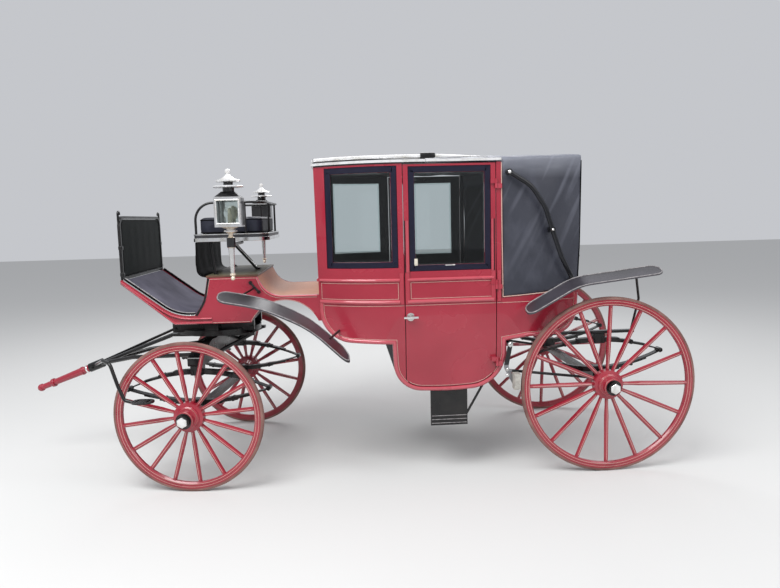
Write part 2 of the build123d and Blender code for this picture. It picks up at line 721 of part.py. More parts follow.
# Fifth wheel: the upper ring under the box and the lower ring on the fore-carriage
upper_low_z = ring_low_z + ring_thickness + seat_gap
upper_ring = Cylinder(ring_outer, ring_thickness) - Cylinder(ring_inner, ring_thickness)
upper_ring = Pos(0, 0, upper_low_z + ring_thickness / 2) * upper_ring
upper_ring += block(-45, 45, -ring_outer + 10, ring_outer - 10, upper_low_z, box_bottom_z - seat_gap)
for y in (-200, 200):
    upper_ring += block(-280, 280, y - 20, y + 20, upper_low_z + 4, box_bottom_z - seat_gap)
upper_ring -= Pos(0, 0, 1000) * Cylinder(kingpin_radius + pin_clearance, 200)
pieces["upper_ring"] = upper_ring

beam_height = 20.0
lower_ring = Cylinder(ring_outer, ring_thickness) - Cylinder(ring_inner, ring_thickness)
lower_ring = Pos(0, 0, ring_low_z + ring_thickness / 2) * lower_ring
for y in (-150, 150):
    lower_ring += block(-300, 300, y - 20, y + 20, ring_low_z - beam_height, ring_low_z)
fore = {"lower_ring": lower_ring}
bed_face = rounded_face(
    [
        (-560, front_bed_low_z, 20),
        (560, front_bed_low_z, 20),
        (560, 830, 20),
        (330, ring_low_z - beam_height - seat_gap, 120),
        (-330, ring_low_z - beam_height - seat_gap, 120),
        (-560, 830, 20),
    ]
)
kingpin = Pos(0, 0, 940) * Cylinder(kingpin_radius, 192)
fore["fore_bed"] = cross_slab(bed_face, -45, 45) + kingpin
front_seat = front_radius + arm_radius
front_spring = spring(
    front_spring_half, front_eye_z, front_spring_top_z, front_spring_low_z, front_bed_low_z, front_seat
)
fore["front_springs"] = both_sides(Pos(0, -front_spring_y, 0) * front_spring)
fore["front_axle"] = axle(front_radius)

# Pole stub and the irons that carry it
pole_rows = [
    # radius, distance from the jaw
    (0, 0.3), (26, 0.3), (29, 26), (24, 36), (28, 52), (24, 250), (23, 300), (28, 312), (28, 322),
    (22, 332), (21, 392), (pole_tip_radius, 402), (pole_tip_radius, 430), (16, pole_length), (0, pole_length),
]
pole_plane = Plane(origin=pole_root, z_dir=pole_run)
fore["pole"] = pole_plane.location * revolve(turned_face(pole_rows), axis=Axis.Z)
jaw_length = 110.0
jaw = pole_plane.location * Pos(0, 0, -jaw_length / 2) * Cylinder(33, jaw_length)
jaw_end = pole_root - pole_run * (jaw_length - 12)
irons = jaw
before_bed = block(-1200, -45 - seat_gap, -reach, reach, 0, 2000)
before_ring = block(-1200, -300 - seat_gap, -reach, reach, 0, 2000)
behind_bed = block(45 + seat_gap, 600, -reach, reach, 0, ring_low_z - beam_height - seat_gap)
rear_rods = Part()
for side in (-1, 1):
    start = (jaw_end.X, side * 16, jaw_end.Z)
    irons += rod([start, (-600, side * 150, 755), (-20, side * 307, 802)], 15, 60) & before_bed
    irons += rod([start, (-280, side * 155, ring_low_z - 8)], 12) & before_ring
    rear_rods += rod([(30, side * 312, 795), (285, side * 142, 915)], 12) & behind_bed
fore["pole_irons"] = Part() + [irons, rear_rods]
step_path = [
    # x, y, z
    (-955, -10, 672), (-520, -735, 858), (-445, -795, 850), (-402, -800, 712), (-366, -802, 620), (-294, -805, 604),
]
pad_x, pad_y, pad_z = -248.0, -805.0, 616.0
pad_rows = [(pad_x - 70, pad_y - 52), (pad_x + 70, pad_y - 52), (pad_x + 70, pad_y + 52), (pad_x - 70, pad_y + 52)]
pad = plan_slab(rounded_face([(x, y, 50) for x, y in pad_rows]), pad_z - 10, pad_z)
for slot_x in (-36, 36):
    pad -= block(pad_x + slot_x - 8, pad_x + slot_x + 8, pad_y - 34, pad_y + 34, pad_z - 20, pad_z + 20)
driver_step = rod(step_path, 11, 34) + pad
driver_step -= pole_plane.location * Pos(0, 0, -jaw_length / 2) * Cylinder(33 + seat_gap, jaw_length + 2)
fore["driver_steps"] = both_sides(driver_step)
for name, shape in fore.items():
    pieces[name] = turned(shape)


def wheel(radius, phase):
    """Left wheel at the origin: dished spokes from a banded hub to the rim. Outwards is -y."""
    rim_outer = radius - tyre_thickness - seat_gap
    rim_inner = rim_outer - rim_depth
    half = rim_width / 2
    rim_rows = [
        (rim_inner, -half + 8, 0), (rim_inner, half - 8, 0), (rim_inner + 8, half, 0),
        (rim_outer, half, 0), (rim_outer, -half, 0), (rim_inner + 8, -half, 0),
    ]
    shape = revolve(rounded_face(rim_rows), axis=Axis.Y)
    end = -hub_outer_reach
    hub_rows = [
        # radius, distance along the axle, positive towards the coach
        (0, end - cap_reach - nut_reach, 0), (nut_radius - 2, end - cap_reach - nut_reach, 0),
        (nut_radius, end - cap_reach, 0), (cap_radius - 4, end - cap_reach, 0),
        (cap_radius, end - cap_reach + 4, 0), (cap_radius, end + 8, 0), (hub_nose_radius - 8, end + 8, 0),
        (hub_nose_radius - 6, end, 0), (hub_nose_radius - 2, end, 0), (hub_nose_radius, end + 3, 0),
        (hub_nose_radius, end + 20, 0), (hub_nose_radius - 3, end + 24, 0), (hub_nose_radius, -44, 0),
        (66, -41, 0), (67, -30, 0), (74, -25, 0), (77, -16, 0),
        (hub_flange_radius, -10, 0), (hub_flange_radius, dish + 20, 0), (72, dish + 28, 0),
        (62, 80, 0), (56, hub_inner_reach, 0), (0, hub_inner_reach, 0),
    ]
    shape += revolve(rounded_face(hub_rows), axis=Axis.Y)
    foot = Vector(hub_flange_radius - 20, dish, 0)
    head = Vector(rim_inner + 12, 0, 0)
    spoke_sections = [
        # share of the way from the hub to the rim, radius
        (0, spoke_root_radius), (0.14, spoke_root_radius), (0.3, spoke_full_radius), (1, spoke_tip_radius),
    ]
    spoke = loft(
        [
            (Plane(origin=foot + (head - foot) * share, z_dir=head - foot) * RegularPolygon(size, 8)).face()
            for share, size in spoke_sections
        ],
        ruled=True,
    )
    step_angle = 360 / spoke_count
    shape += [Rot(0, -(phase + step_angle * index), 0) * spoke for index in range(spoke_count)]
    bore_depth = hub_inner_reach + hub_outer_reach - 12
    bore = Rot(90, 0, 0) * Cylinder(arm_radius + arm_clearance, bore_depth)
    return shape - Pos(0, hub_inner_reach - bore_depth / 2, 0) * bore


def tyre(radius):
    """Solid rubber tyre at the origin, with a slightly rounded tread."""
    half = rim_width / 2 - 1
    rows = [
        (radius - tyre_thickness, -half, 0), (radius - 5, -half, 0), (radius, -half + 7, 0),
        (radius, half - 7, 0), (radius - 5, half, 0), (radius - tyre_thickness, half, 0),
    ]
    return revolve(rounded_face(rows), axis=Axis.Y)


wheel_sets = {
    # place: radius, x of the axle, spoke phase in degrees, on the turned fore-carriage
    "front": (front_radius, 0.0, front_spoke_phase, True),
    "rear": (rear_radius, wheelbase, rear_spoke_phase, False),
}
for place, (radius, x, phase, steered) in wheel_sets.items():
    spot = Pos(x, -rim_y, radius)
    for kind, shape in (("wheel", spot * wheel(radius, phase)), ("tyre", spot * tyre(radius))):
        for hand, half in (("left", shape), ("right", mirror(shape, about=Plane.XZ))):
            pieces[f"{hand}_{place}_{kind}"] = turned(half) if steered else half

middle_x = (pieces["pole"].bounding_box().min.X + wheelbase + rear_radius) / 2
print("middle of the length, behind the kingpin:", round(middle_x, 3))
for name, shape in pieces.items():
    export_step(Pos(-middle_x, 0, 0) * shape, f"parts/{name}.step")
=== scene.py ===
"""Looks of a landaulet coach: paint, lines, leather, glass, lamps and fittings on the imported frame."""

from math import cos, hypot, pi, radians, sin, sqrt, tan

import bmesh
import bpy
from mathutils import Matrix, Vector


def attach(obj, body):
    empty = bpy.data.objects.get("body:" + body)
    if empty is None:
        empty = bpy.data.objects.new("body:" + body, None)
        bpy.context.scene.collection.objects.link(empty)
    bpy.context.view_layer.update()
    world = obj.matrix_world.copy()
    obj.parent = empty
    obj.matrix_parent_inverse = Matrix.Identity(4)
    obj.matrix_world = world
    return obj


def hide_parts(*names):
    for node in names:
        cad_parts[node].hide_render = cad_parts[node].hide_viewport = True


bl_info = {
    "name": "Landaulet coach",
    "version": (1, 0, 0),
    "blender": (4, 5, 0),
    "location": "3D View > Sidebar > Coach",
    "description": "Dresses the solids of a landaulet coach in paint, leather, glass and fittings",
    "category": "Object",
}

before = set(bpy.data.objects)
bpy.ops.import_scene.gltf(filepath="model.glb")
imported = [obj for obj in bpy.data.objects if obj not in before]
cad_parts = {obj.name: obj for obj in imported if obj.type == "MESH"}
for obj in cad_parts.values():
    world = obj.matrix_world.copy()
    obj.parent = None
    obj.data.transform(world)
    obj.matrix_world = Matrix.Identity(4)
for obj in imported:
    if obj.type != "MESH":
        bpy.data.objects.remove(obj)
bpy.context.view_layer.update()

# Pieces are drawn in metres behind the kingpin (x), to the right (y) and above the ground (z)
KINGPIN_X = -0.898307
PARKED_TURN = radians(-7.13)
HALF_WIDTH = 0.66
FRONT_X = 0.74
REAR_X = 2.508
# The sides bend in ahead of and behind these positions, with these radii, and below this height
FRONT_BEND_X, FRONT_BEND = 1.29, (0.55**2 + 0.19**2) / 0.38
REAR_BEND_X, REAR_BEND = 1.93, (0.578**2 + 0.138**2) / 0.276
BELLY_Z = 1.21
WALL = 0.018
DOOR_FRONT_X = 1.302
DOOR_REAR_X = 1.9
BOX_HALF_WIDTH = 0.48
WHEEL_Y = 0.714
FRONT_RADIUS = 0.483
REAR_RADIUS = 0.58
REAR_AXLE_X = 2.623
LAMP_X = 0.25
LAMP_Y = 0.8
GUARD_INNER_Y = 0.661
GUARD_WIDTH = 0.142
DASH_X = -0.516
CUSHION_PRESSURE, CUSHION_FRAMES = 4.0, 20
# The camera that was solved from the photograph; its focal length and width are in the photograph's dots
PHOTO_WIDTH = 780
FOCAL_LENGTH = 649.67
CAMERA_PLACE = (0.9234 + KINGPIN_X, -4.7696, 1.696)
CAMERA_YAW, CAMERA_PITCH, CAMERA_ROLL = radians(3.614), radians(6.697), radians(1.486)


def srgb(text):
    """Colour written as six hexadecimal digits, as linear red, green, blue and alpha."""
    values = [int(text[i : i + 2], 16) / 255 for i in (0, 2, 4)]
    return tuple(v / 12.92 if v <= 0.04045 else ((v + 0.055) / 1.055) ** 2.4 for v in values) + (1.0,)


# Shaders


class Wire:
    """A shader socket that can be used in sums."""

    def __init__(self, shader, socket):
        self.shader, self.socket = shader, socket

    def maths(self, operation, *values):
        inputs = dict(enumerate(values))
        return self.shader.node("ShaderNodeMath", {"operation": operation}, inputs)

    def __add__(self, other):
        return self.maths("ADD", self, other)

    __radd__ = __add__

    def __sub__(self, other):
        return self.maths("SUBTRACT", self, other)

    def __rsub__(self, other):
        return self.maths("SUBTRACT", other, self)

    def __mul__(self, other):
        return self.maths("MULTIPLY", self, other)

    __rmul__ = __mul__

    def __truediv__(self, other):
        return self.maths("DIVIDE", self, other)

    def __lt__(self, other):
        return self.maths("LESS_THAN", self, other)

    def __gt__(self, other):
        return self.maths("GREATER_THAN", self, other)

    def __abs__(self):
        return self.maths("ABSOLUTE", self)

    def either(self, other):
        return self.maths("MAXIMUM", self, other)

    def both(self, other):
        return self.maths("MINIMUM", self, other)


class Shader:
    """Material built node by node on Object coordinates."""

    def __init__(self, name):
        self.material = bpy.data.materials.new(name)
        self.material.use_nodes = True
        self.tree = self.material.node_tree
        self.tree.nodes.clear()
        self.place = self.node("ShaderNodeTexCoord", output="Object")

    def node(self, kind, settings=None, inputs=None, output=0):
        """One output of a new node."""
        made = self.tree.nodes.new(kind)
        for key, value in (settings or {}).items():
            setattr(made, key, value)
        for key, value in (inputs or {}).items():
            if isinstance(value, Wire):
                self.tree.links.new(value.socket, made.inputs[key])
            else:
                made.inputs[key].default_value = value
        return Wire(self, made.outputs[output]) if made.outputs else None

    def split(self):
        """The place's three numbers."""
        made = self.tree.nodes.new("ShaderNodeSeparateXYZ")
        self.tree.links.new(self.place.socket, made.inputs[0])
        return [Wire(self, made.outputs[i]) for i in range(3)]

    def noise(self, scale, detail=3.0, stretch=(1, 1, 1), roughness=0.5):
        """Soft random pattern; stretch above 1 packs it closer along that axis."""
        mapped = self.node("ShaderNodeMapping", inputs={"Vector": self.place, "Scale": stretch})
        values = {"Vector": mapped, "Scale": scale, "Detail": detail, "Roughness": roughness}
        return self.node("ShaderNodeTexNoise", inputs=values)

    def ramp(self, value, low, high):
        """0 at low, 1 at high, straight between."""
        inputs = {"Value": value, "From Min": low, "From Max": high}
        return self.node("ShaderNodeMapRange", inputs=inputs)

    def mix(self, factor, first, second):
        """One colour over another."""
        inputs = {0: factor, 6: first, 7: second}
        return self.node("ShaderNodeMix", {"data_type": "RGBA"}, inputs, 2)

    def bump(self, height, distance, strength=1.0):
        inputs = {"Height": height, "Distance": distance, "Strength": strength}
        return self.node("ShaderNodeBump", inputs=inputs)

    def finish(self, **values):
        """Principled surface with the given sockets; words have underscores for spaces."""
        inputs = {key.replace("_", " "): value for key, value in values.items()}
        surface = self.node("ShaderNodeBsdfPrincipled", inputs=inputs)
        self.node("ShaderNodeOutputMaterial", inputs={"Surface": surface})
        return self.material


def colours():
    return bpy.context.scene.coach_colours


def sizes():
    return bpy.context.scene.coach_sizes


def once(make):
    """Keeps the material that a function makes, so that every piece shares it."""
    made = {}

    def kept(*words):
        if words not in made:
            made[words] = make(*words)
        return made[words]

    return kept


def root(wire):
    return wire.maths("SQRT", wire)


def inside_coach(s):
    """1 on faces that look into the cabin, under the body and on the door well's faces, 0 on the outer faces
    of its walls.
    """
    x, y, z = s.split()
    x = x - KINGPIN_X
    ahead, behind = (FRONT_BEND_X - x).either(0.0), (x - REAR_BEND_X).either(0.0)
    width = HALF_WIDTH - FRONT_BEND - REAR_BEND
    width = width + root(FRONT_BEND**2 - ahead * ahead) + root(REAR_BEND**2 - behind * behind)
    rise = z.both(BELLY_Z) - UNDER[1]
    width = width.both(root(UNDER[2] ** 2 - rise * rise) + UNDER[0])
    inside = (abs(y) < width - 0.014).both(x > 0.764 - z * 0.011 + WALL)
    inside = inside.both(x < 2.4075 + z * 0.06 - WALL)
    # The rounded lower corners at the front and the rear
    for middle_x, middle_z, radius, past in ((0.96, 1.111, 0.205, -1), (2.283, 1.082, 0.175, 1)):
        across, down = (x - middle_x) * past, middle_z - z
        corner = (across > 0.0).both(down > 0.0)
        beyond = root(across * across + down * down) > radius - WALL
        inside = inside.both(1 - corner.both(beyond))
    return inside


# How light each red is against the body's paint: the lighter reds are painted highlight, on the neck's bead
# together with wear, and the darkest is painted shadow
REDS = {
    "coach_red": 1.0,
    "coach_red_lined": 1.0,
    "pole_red": 1.0,
    "plate_red": 1.1,
    "strip_red": 1.2,
    "bead_red": 1.3,
    "worn_bead": 1.6,
    "groove_red": 0.3,
}


@once
def coach_paint(name="coach_red"):
    """Brushed coach varnish: gloss over a deep red with a faint orange peel and dust."""
    s = Shader(name)
    shade, red = REDS[name], colours().body
    # Painted highlight: reds lighter than the body's are made paler too, as raised beads, strips and plates
    # look under the sky
    pale = 0.13 * max(0.0, shade - 1.0)
    base = tuple(min(1.0, c * shade + pale) for c in red[:3]) + (1,)
    dull = tuple(min(1, c * 1.2 + 0.008) for c in base[:3]) + (1,)
    cloud = s.noise(2.2, 4)
    peel = s.noise(260, 2)
    colour = s.mix(s.ramp(cloud, 0.35, 0.7), base, dull)
    rough = s.ramp(cloud, 0.2, 0.9) * 0.14 + 0.2
    coat = 0.55 if shade <= 1.1 else 1.0
    if name == "coach_red_lined":
        # Dull and dark on the cabin's side, under the body and on the door well's faces
        cabin = inside_coach(s)
        colour = s.mix(cabin, colour, srgb("15141c"))
        rough = rough + cabin * 0.5
        coat = 0.55 - cabin * 0.55
    return s.finish(
        Base_Color=colour,
        Roughness=rough,
        Coat_Weight=coat,
        Coat_Roughness=0.06,
        Normal=s.bump(peel, 0.00025, 0.4),
    )


@once
def line_paint(name="cream_line"):
    """Hand-drawn cream line, slightly uneven."""
    s = Shader(name)
    wave = s.noise(90, 2)
    cream = colours().line
    faded = tuple(c * 0.72 for c in cream[:3]) + (1,)
    return s.finish(Base_Color=s.mix(s.ramp(wave, 0.3, 0.75), cream, faded), Roughness=0.35, Coat_Weight=0.5)


@once
def frame_paint(name="window_frame_navy"):
    """Dark blue sash wood under gloss varnish."""
    s = Shader(name)
    grain = s.noise(30, 4, (1, 1, 8))
    return s.finish(
        Base_Color=s.mix(s.ramp(grain, 0.3, 0.8), srgb("0c0b1d"), srgb("191730")),
        Roughness=0.3 + grain * 0.12,
        Specular_IOR_Level=0.3,
        Coat_Weight=0.12,
        Coat_Roughness=0.1,
        Normal=s.bump(grain, 0.0004, 0.3),
    )


@once
def iron_paint(name="black_enamel"):
    """Black enamel over forged iron, with patches of dust."""
    s = Shader(name)
    cloud = s.noise(9, 5)
    hammer = s.noise(70, 3)
    return s.finish(
        Base_Color=s.mix(s.ramp(cloud, 0.45, 0.75), srgb("08080a"), srgb("1f1d1c")),
        Roughness=s.ramp(cloud, 0.3, 0.8) * 0.25 + 0.22,
        Specular_IOR_Level=0.3,
        Coat_Weight=0.35,
        Coat_Roughness=0.12,
        Normal=s.bump(hammer, 0.0008, 0.35),
    )


@once
def stay_enamel(name="stay_enamel"):
    """Glossy black enamel that catches the sky."""
    s = Shader(name)
    cloud = s.noise(9, 4)
    return s.finish(
        Base_Color=s.mix(cloud, srgb("08090c"), srgb("15171e")),
        Roughness=cloud * 0.1 + 0.25,
        Specular_IOR_Level=0.3,
        Coat_Weight=0.15,
        Coat_Roughness=0.12,
    )


LEATHERS = {
    # Fresh and worn colour, grain, creases, roughness, shine, painted sheen on top under the sky
    "hood_leather": ("30323c", "434550", 330, 1.5, 0.4, 0.45, 0.8),
    "black_leather": ("070708", "131315", 420, 0.5, 0.5, 0.05, 0),
    "dashboard_leather": ("0d1312", "1b2220", 420, 0.4, 0.5, 0.08, 0),
    "navy_cushion_leather": ("1c1e29", "313441", 380, 0.6, 0.45, 0.25, 0),
    "dark_cabin_leather": ("101118", "1b1c26", 200, 0.4, 0.55, 0.1, 0),
}


@once
def leather(name="black_leather"):
    """Grained leather, paler on worn creases."""
    s = Shader(name)
    fresh, aged, grain_size, crease, rough, specular, top_sheen = LEATHERS[name]
    cell_inputs = {"Vector": s.place, "Scale": grain_size}
    cells = s.node("ShaderNodeTexVoronoi", {"feature": "DISTANCE_TO_EDGE"}, cell_inputs)
    folds = s.noise(6, 5, (1, 1, 0.6), 0.6)
    worn = s.ramp(folds, 0.5, 0.8)
    height = s.ramp(cells, 0.0, 0.18) * 0.15 + folds * crease
    colour = s.mix(worn, srgb(fresh), srgb(aged))
    if top_sheen:
        # Painted highlights: pale streaks fan down the creases from the rear, and the top is painted paler as
        # sheen from the sky
        x, y, z = s.split()
        slanted = {0: x * 0.88 - z * 0.47, 1: x * 0.04 + z * 0.075, 2: y * 0.1}
        vector = s.node("ShaderNodeCombineXYZ", inputs=slanted)
        crease_sheen = s.node("ShaderNodeTexNoise", inputs={"Vector": vector, "Scale": 17.0, "Detail": 1.0})
        creases = s.ramp(crease_sheen, 0.55, 0.72) * s.ramp(z, 1.2, 1.9)
        colour = s.mix(creases * 0.5, colour, srgb("6e707c"))
        colour = s.mix(s.ramp(z, 1.93, 2.11) * top_sheen, colour, srgb("8d909b"))
    return s.finish(
        Base_Color=colour,
        Roughness=rough + worn * 0.12,
        Specular_IOR_Level=specular,
        Normal=s.bump(height, 0.002, 0.5),
    )


# How light and how metallic each plate is
SILVERS = {
    "silver_plate": (1.0, 1.0),
    "edge_silver": (1.1, 0.6),
    "post_silver": (0.95, 0.75),
    "lamp_plate": (1.08, 0.7),
    "dull_silver": (0.7, 1.0),
}


@once
def silver(name="silver_plate"):
    """Polished plate with a little tarnish."""
    s = Shader(name)
    shade, metal = SILVERS[name]
    tarnish = s.ramp(s.noise(22, 4), 0.45, 0.8)
    light, dull = (0.86 * shade,) * 3 + (1,), (0.52 * shade, 0.5 * shade, 0.45 * shade, 1)
    return s.finish(
        Base_Color=s.mix(tarnish, light, dull),
        Metallic=metal,
        Roughness=tarnish * 0.25 + 0.14,
        Normal=s.bump(s.noise(160, 2), 0.0002, 0.2),
    )


@once
def mirror_plate(name="mirror_plate"):
    """Clean polished plate inside the lamps."""
    s = Shader(name)
    return s.finish(Base_Color=(0.95, 0.96, 0.92, 1), Metallic=0.9, Roughness=s.noise(40, 2) * 0.06 + 0.06)


@once
def lamp_finish(name="lamp_silver_and_black"):
    """Silver rims, face and foot; black neck, side plates and clamp; a warm post."""
    s = Shader(name)
    x, y, z = s.split()
    out = abs(y) - LAMP_Y

    def layer(low, high):
        return (z > low).both(z < high)

    chamber = (abs(out) < 0.0705).both(abs(x - LAMP_X - KINGPIN_X) < 0.0705)
    plates = layer(1.68, 1.841).both(out < 0.067).both(1 - chamber)
    black = layer(1.849, 1.9035).either(layer(1.9135, 1.9375)).either(layer(1.549, 1.607)).either(plates)
    warm = layer(1.3, 1.549).either(layer(1.607, 1.671)) * 0.75
    tarnish = s.ramp(s.noise(26, 4), 0.4, 0.8)
    metal = s.mix(tarnish, (0.88, 0.88, 0.88, 1), (0.58, 0.55, 0.5, 1))
    metal = s.mix(warm, metal, (0.72, 0.6, 0.44, 1))
    return s.finish(
        Base_Color=s.mix(black, metal, srgb("0e0e11")),
        Metallic=1 - black - chamber * 0.55,
        Roughness=tarnish * 0.22 + 0.16 + black * 0.14,
        Coat_Weight=black * 0.5,
    )


@once
def guard_leather(name="guard_leather"):
    """Stiff black leather of the mudguards, dulled by dust."""
    s = Shader(name)
    cloud = s.noise(7, 5, (0.5, 1, 1))
    return s.finish(
        Base_Color=s.mix(s.ramp(cloud, 0.35, 0.7), srgb("1e1c21"), srgb("3c3840")),
        Roughness=s.ramp(cloud, 0.2, 0.8) * 0.2 + 0.32,
        Coat_Weight=0.8,
        Coat_Roughness=0.28,
        Normal=s.bump(s.noise(240, 3), 0.0005, 0.35),
    )


@once
def guard_edge(name="guard_edge"):
    """Worn grey binding round a mudguard."""
    s = Shader(name)
    worn = s.ramp(s.noise(40, 3), 0.35, 0.7)
    return s.finish(Base_Color=s.mix(worn, srgb("6d6a6c"), srgb("a09c9c")), Roughness=0.45)


@once
def brake_finish(name="brake_iron_and_block"):
    """Black iron, bright worn straps low on the arms and pale rubbed blocks."""
    s = Shader(name)
    x, y, z = s.split()
    x = x - KINGPIN_X
    low = (z > 0.57).both(z < 0.685)
    block = low.both(x > 1.9955).both(x < 2.036).both(abs(y) > 0.6722)
    strap = (z > 0.57).both(z < 0.73).both(x < 1.9955).both(x > 1.93)
    cloud = s.noise(30, 4)
    colour = s.mix(strap * 0.8, srgb("101012"), srgb("9a9a9e"))
    colour = s.mix(block, colour, s.mix(s.ramp(cloud, 0.35, 0.7), srgb("8e8a84"), srgb("bdbab2")))
    return s.finish(Base_Color=colour, Metallic=strap * 0.8, Roughness=block * 0.45 + cloud * 0.2 + 0.25)


@once
def tyre_rubber(name="worn_rubber"):
    """Old solid rubber, pale with road dust."""
    s = Shader(name)
    dust = s.ramp(s.noise(9, 4), 0.3, 0.75)
    return s.finish(
        Base_Color=s.mix(dust, srgb("6a4742"), srgb("8f6c64")),
        Roughness=0.85,
        Normal=s.bump(s.noise(120, 4), 0.002, 0.5),
    )


@once
def pane_glass(name="plate_glass"):
    """Clear glass: mostly seen through, with a mirror edge at grazing angles."""
    s = Shader(name)
    clear = s.node("ShaderNodeBsdfTransparent", inputs={"Color": (0.9, 0.93, 0.93, 1)})
    shine = s.node("ShaderNodeBsdfGlossy", inputs={"Color": (1, 1, 1, 1), "Roughness": 0.02})
    edge = s.node("ShaderNodeFresnel", inputs={"IOR": 1.33})
    surface = s.node("ShaderNodeMixShader", inputs={0: edge, 1: clear, 2: shine})
    s.node("ShaderNodeOutputMaterial", inputs={"Surface": surface})
    return s.material


@once
def board_paint(name, first, second, stretch_x=0.6, gloss=0.25):
    """Painted board with a faint grain."""
    s = Shader(name)
    grain = s.noise(26, 5, (stretch_x, 4, 4))
    return s.finish(
        Base_Color=s.mix(s.ramp(grain, 0.3, 0.75), srgb(first), srgb(second)),
        Roughness=0.52 - gloss * 0.4 + grain * 0.15,
        Coat_Weight=gloss,
        Coat_Roughness=0.2,
        Normal=s.bump(grain, 0.0006, 0.35),
    )


@once
def box_mat(name="ribbed_mat"):
    """Plain woven cloth of the footboard."""
    s = Shader(name)
    x, y, z = s.split()
    over, under = (x + z * 0.5) * 300, (y + z * 0.5) * 300
    cloth = over.maths("SINE", over) * under.maths("SINE", under)
    return s.finish(
        Base_Color=s.mix(s.ramp(s.noise(5, 3), 0.3, 0.75), srgb("474553"), srgb("686675")),
        Roughness=0.95,
        Normal=s.bump(cloth, 0.0006, 0.5),
    )


@once
def wheel_paint(name, centre_x, centre_z, phase, turned, side):
    """Red wheel: lines on the rim and spokes and a dark ring at the hub."""
    s = Shader(name)
    x, y, z = s.split()
    x = x - KINGPIN_X
    if turned:
        c, n = cos(-PARKED_TURN), sin(-PARKED_TURN)
        flat_x, across = x * c - y * n, x * n + y * c
    else:
        flat_x, across = x - centre_x, y
    up = z - centre_z
    out = (across * side) - WHEEL_Y
    radius = root(flat_x * flat_x + up * up)
    step = 2 * pi / 16
    spoke = (up.maths("ARCTAN2", up, flat_x) - radians(phase)) / step + 100.5
    off_spoke = abs(spoke.maths("FRACT", spoke) - 0.5) * step * radius
    rim = (FRONT_RADIUS if turned else REAR_RADIUS) - 0.018
    lines = (abs(radius - (rim - 0.012)) < 0.0009).either(abs(radius - (rim - 0.03)) < 0.0011)
    lines = lines.both(out > 0.0145)
    on_spokes = (off_spoke < 0.0012).both(radius > 0.105).both(radius < rim - 0.055).both(out > -0.026)
    lines = lines.either(on_spokes)
    hub_lines = (abs(out - 0.0855) < 0.0017).either(abs(out - 0.0345) < 0.0015)
    lines = lines.either(hub_lines.both(radius < 0.08))
    cloud = s.noise(6, 4)
    red = colours().wheel
    dull = tuple(min(1, c * 1.3 + 0.012) for c in red[:3]) + (1,)
    colour = s.mix(lines, s.mix(s.ramp(cloud, 0.35, 0.7), red, dull), colours().line)
    # Painted shade: a dark ring on the hub's nose all round the cap
    ring = (out > 0.079).both(radius < 0.0505)
    return s.finish(
        Base_Color=s.mix(ring, colour, srgb("0c0c0e")),
        Roughness=s.ramp(cloud, 0.2, 0.9) * 0.2 + 0.22,
        Coat_Weight=0.7,
        Coat_Roughness=0.08,
        Normal=s.bump(s.noise(180, 2), 0.0003, 0.3),
    )


# Shapes


def deselect():
    if bpy.context.object and bpy.context.object.mode != "OBJECT":
        bpy.ops.object.mode_set(mode="OBJECT")
    bpy.ops.object.select_all(action="DESELECT")


def pick(piece):
    """Makes a piece the only selected object."""
    deselect()
    piece.select_set(True)
    bpy.context.view_layer.objects.active = piece


def added(name):
    """Names the object that was just made."""
    piece = bpy.context.object
    piece.name = name
    piece.data.name = name
    return piece


def settle(piece):
    """Writes a piece's place into its mesh."""
    pick(piece)
    bpy.ops.object.transform_apply(location=True, rotation=True, scale=True)


def modify(piece, kind, **settings):
    """Adds a modifier and applies it."""
    pick(piece)
    modifier = piece.modifiers.new(kind.lower(), kind)
    for key, value in settings.items():
        setattr(modifier, key, value)
    bpy.ops.object.modifier_apply(modifier=modifier.name)


def smooth(piece, angle=35):
    pick(piece)
    bpy.ops.object.shade_smooth_by_angle(angle=radians(angle))


def box(low, high, bevel=0.0, segments=2):
    """Block between two corners with rounded edges."""
    deselect()
    middle = [(a + b) / 2 for a, b in zip(low, high)]
    bpy.ops.mesh.primitive_cube_add(size=1, location=middle)
    piece = bpy.context.object
    piece.scale = [b - a for a, b in zip(low, high)]
    settle(piece)
    if bevel:
        bpy.ops.object.mode_set(mode="EDIT")
        bpy.ops.mesh.select_all(action="SELECT")
        bpy.ops.mesh.bevel(offset=bevel, segments=segments, affect="EDGES")
        bpy.ops.object.mode_set(mode="OBJECT")
        smooth(piece)
    return piece


def turned_form(rows, sides=32, angle=35):
    """Form turned about z: rows of (radius, height), drawn out ring by ring from the first."""
    deselect()
    radius, height = rows[0]
    bpy.ops.mesh.primitive_circle_add(
        vertices=sides, radius=radius, fill_type="NGON", location=(0, 0, height)
    )
    piece = bpy.context.object
    settle(piece)
    bpy.ops.object.mode_set(mode="EDIT")
    bpy.ops.mesh.select_all(action="SELECT")
    for (radius, height), (next_radius, next_height) in zip(rows, rows[1:]):
        bpy.ops.mesh.extrude_region_move(TRANSFORM_OT_translate={"value": (0, 0, next_height - height)})
        ratio = next_radius / radius
        bpy.ops.transform.resize(value=(ratio, ratio, 1), center_override=(0, 0, next_height))
    bpy.ops.mesh.select_all(action="SELECT")
    bpy.ops.mesh.normals_make_consistent(inside=False)
    bpy.ops.object.mode_set(mode="OBJECT")
    smooth(piece, angle)
    return piece


def placed(piece, matrix):
    """Moves a finished mesh."""
    piece.data.transform(matrix)
    if matrix.determinant() < 0:
        piece.data.flip_normals()
    piece.data.update()
    return piece


def joined(name, pieces):
    """One object from several."""
    deselect()
    for piece in pieces:
        piece.select_set(True)
    bpy.context.view_layer.objects.active = pieces[0]
    if len(pieces) > 1:
        bpy.ops.object.join()
    return added(name)


MIRROR = Matrix.Scale(-1, 4, (0, 1, 0))
# Turns a form drawn upwards to the coach's left
OUTWARDS = Matrix.Rotation(pi / 2, 4, "X")


def mirrored(piece):
    """The same piece on the coach's other side."""
    pick(piece)
    bpy.ops.object.duplicate(linked=False)
    return placed(bpy.context.object, MIRROR)


def moved(piece, place, turn=Matrix.Identity(4)):
    """Turns a finished mesh about its origin and moves it."""
    return placed(piece, Matrix.Translation(place) @ turn)


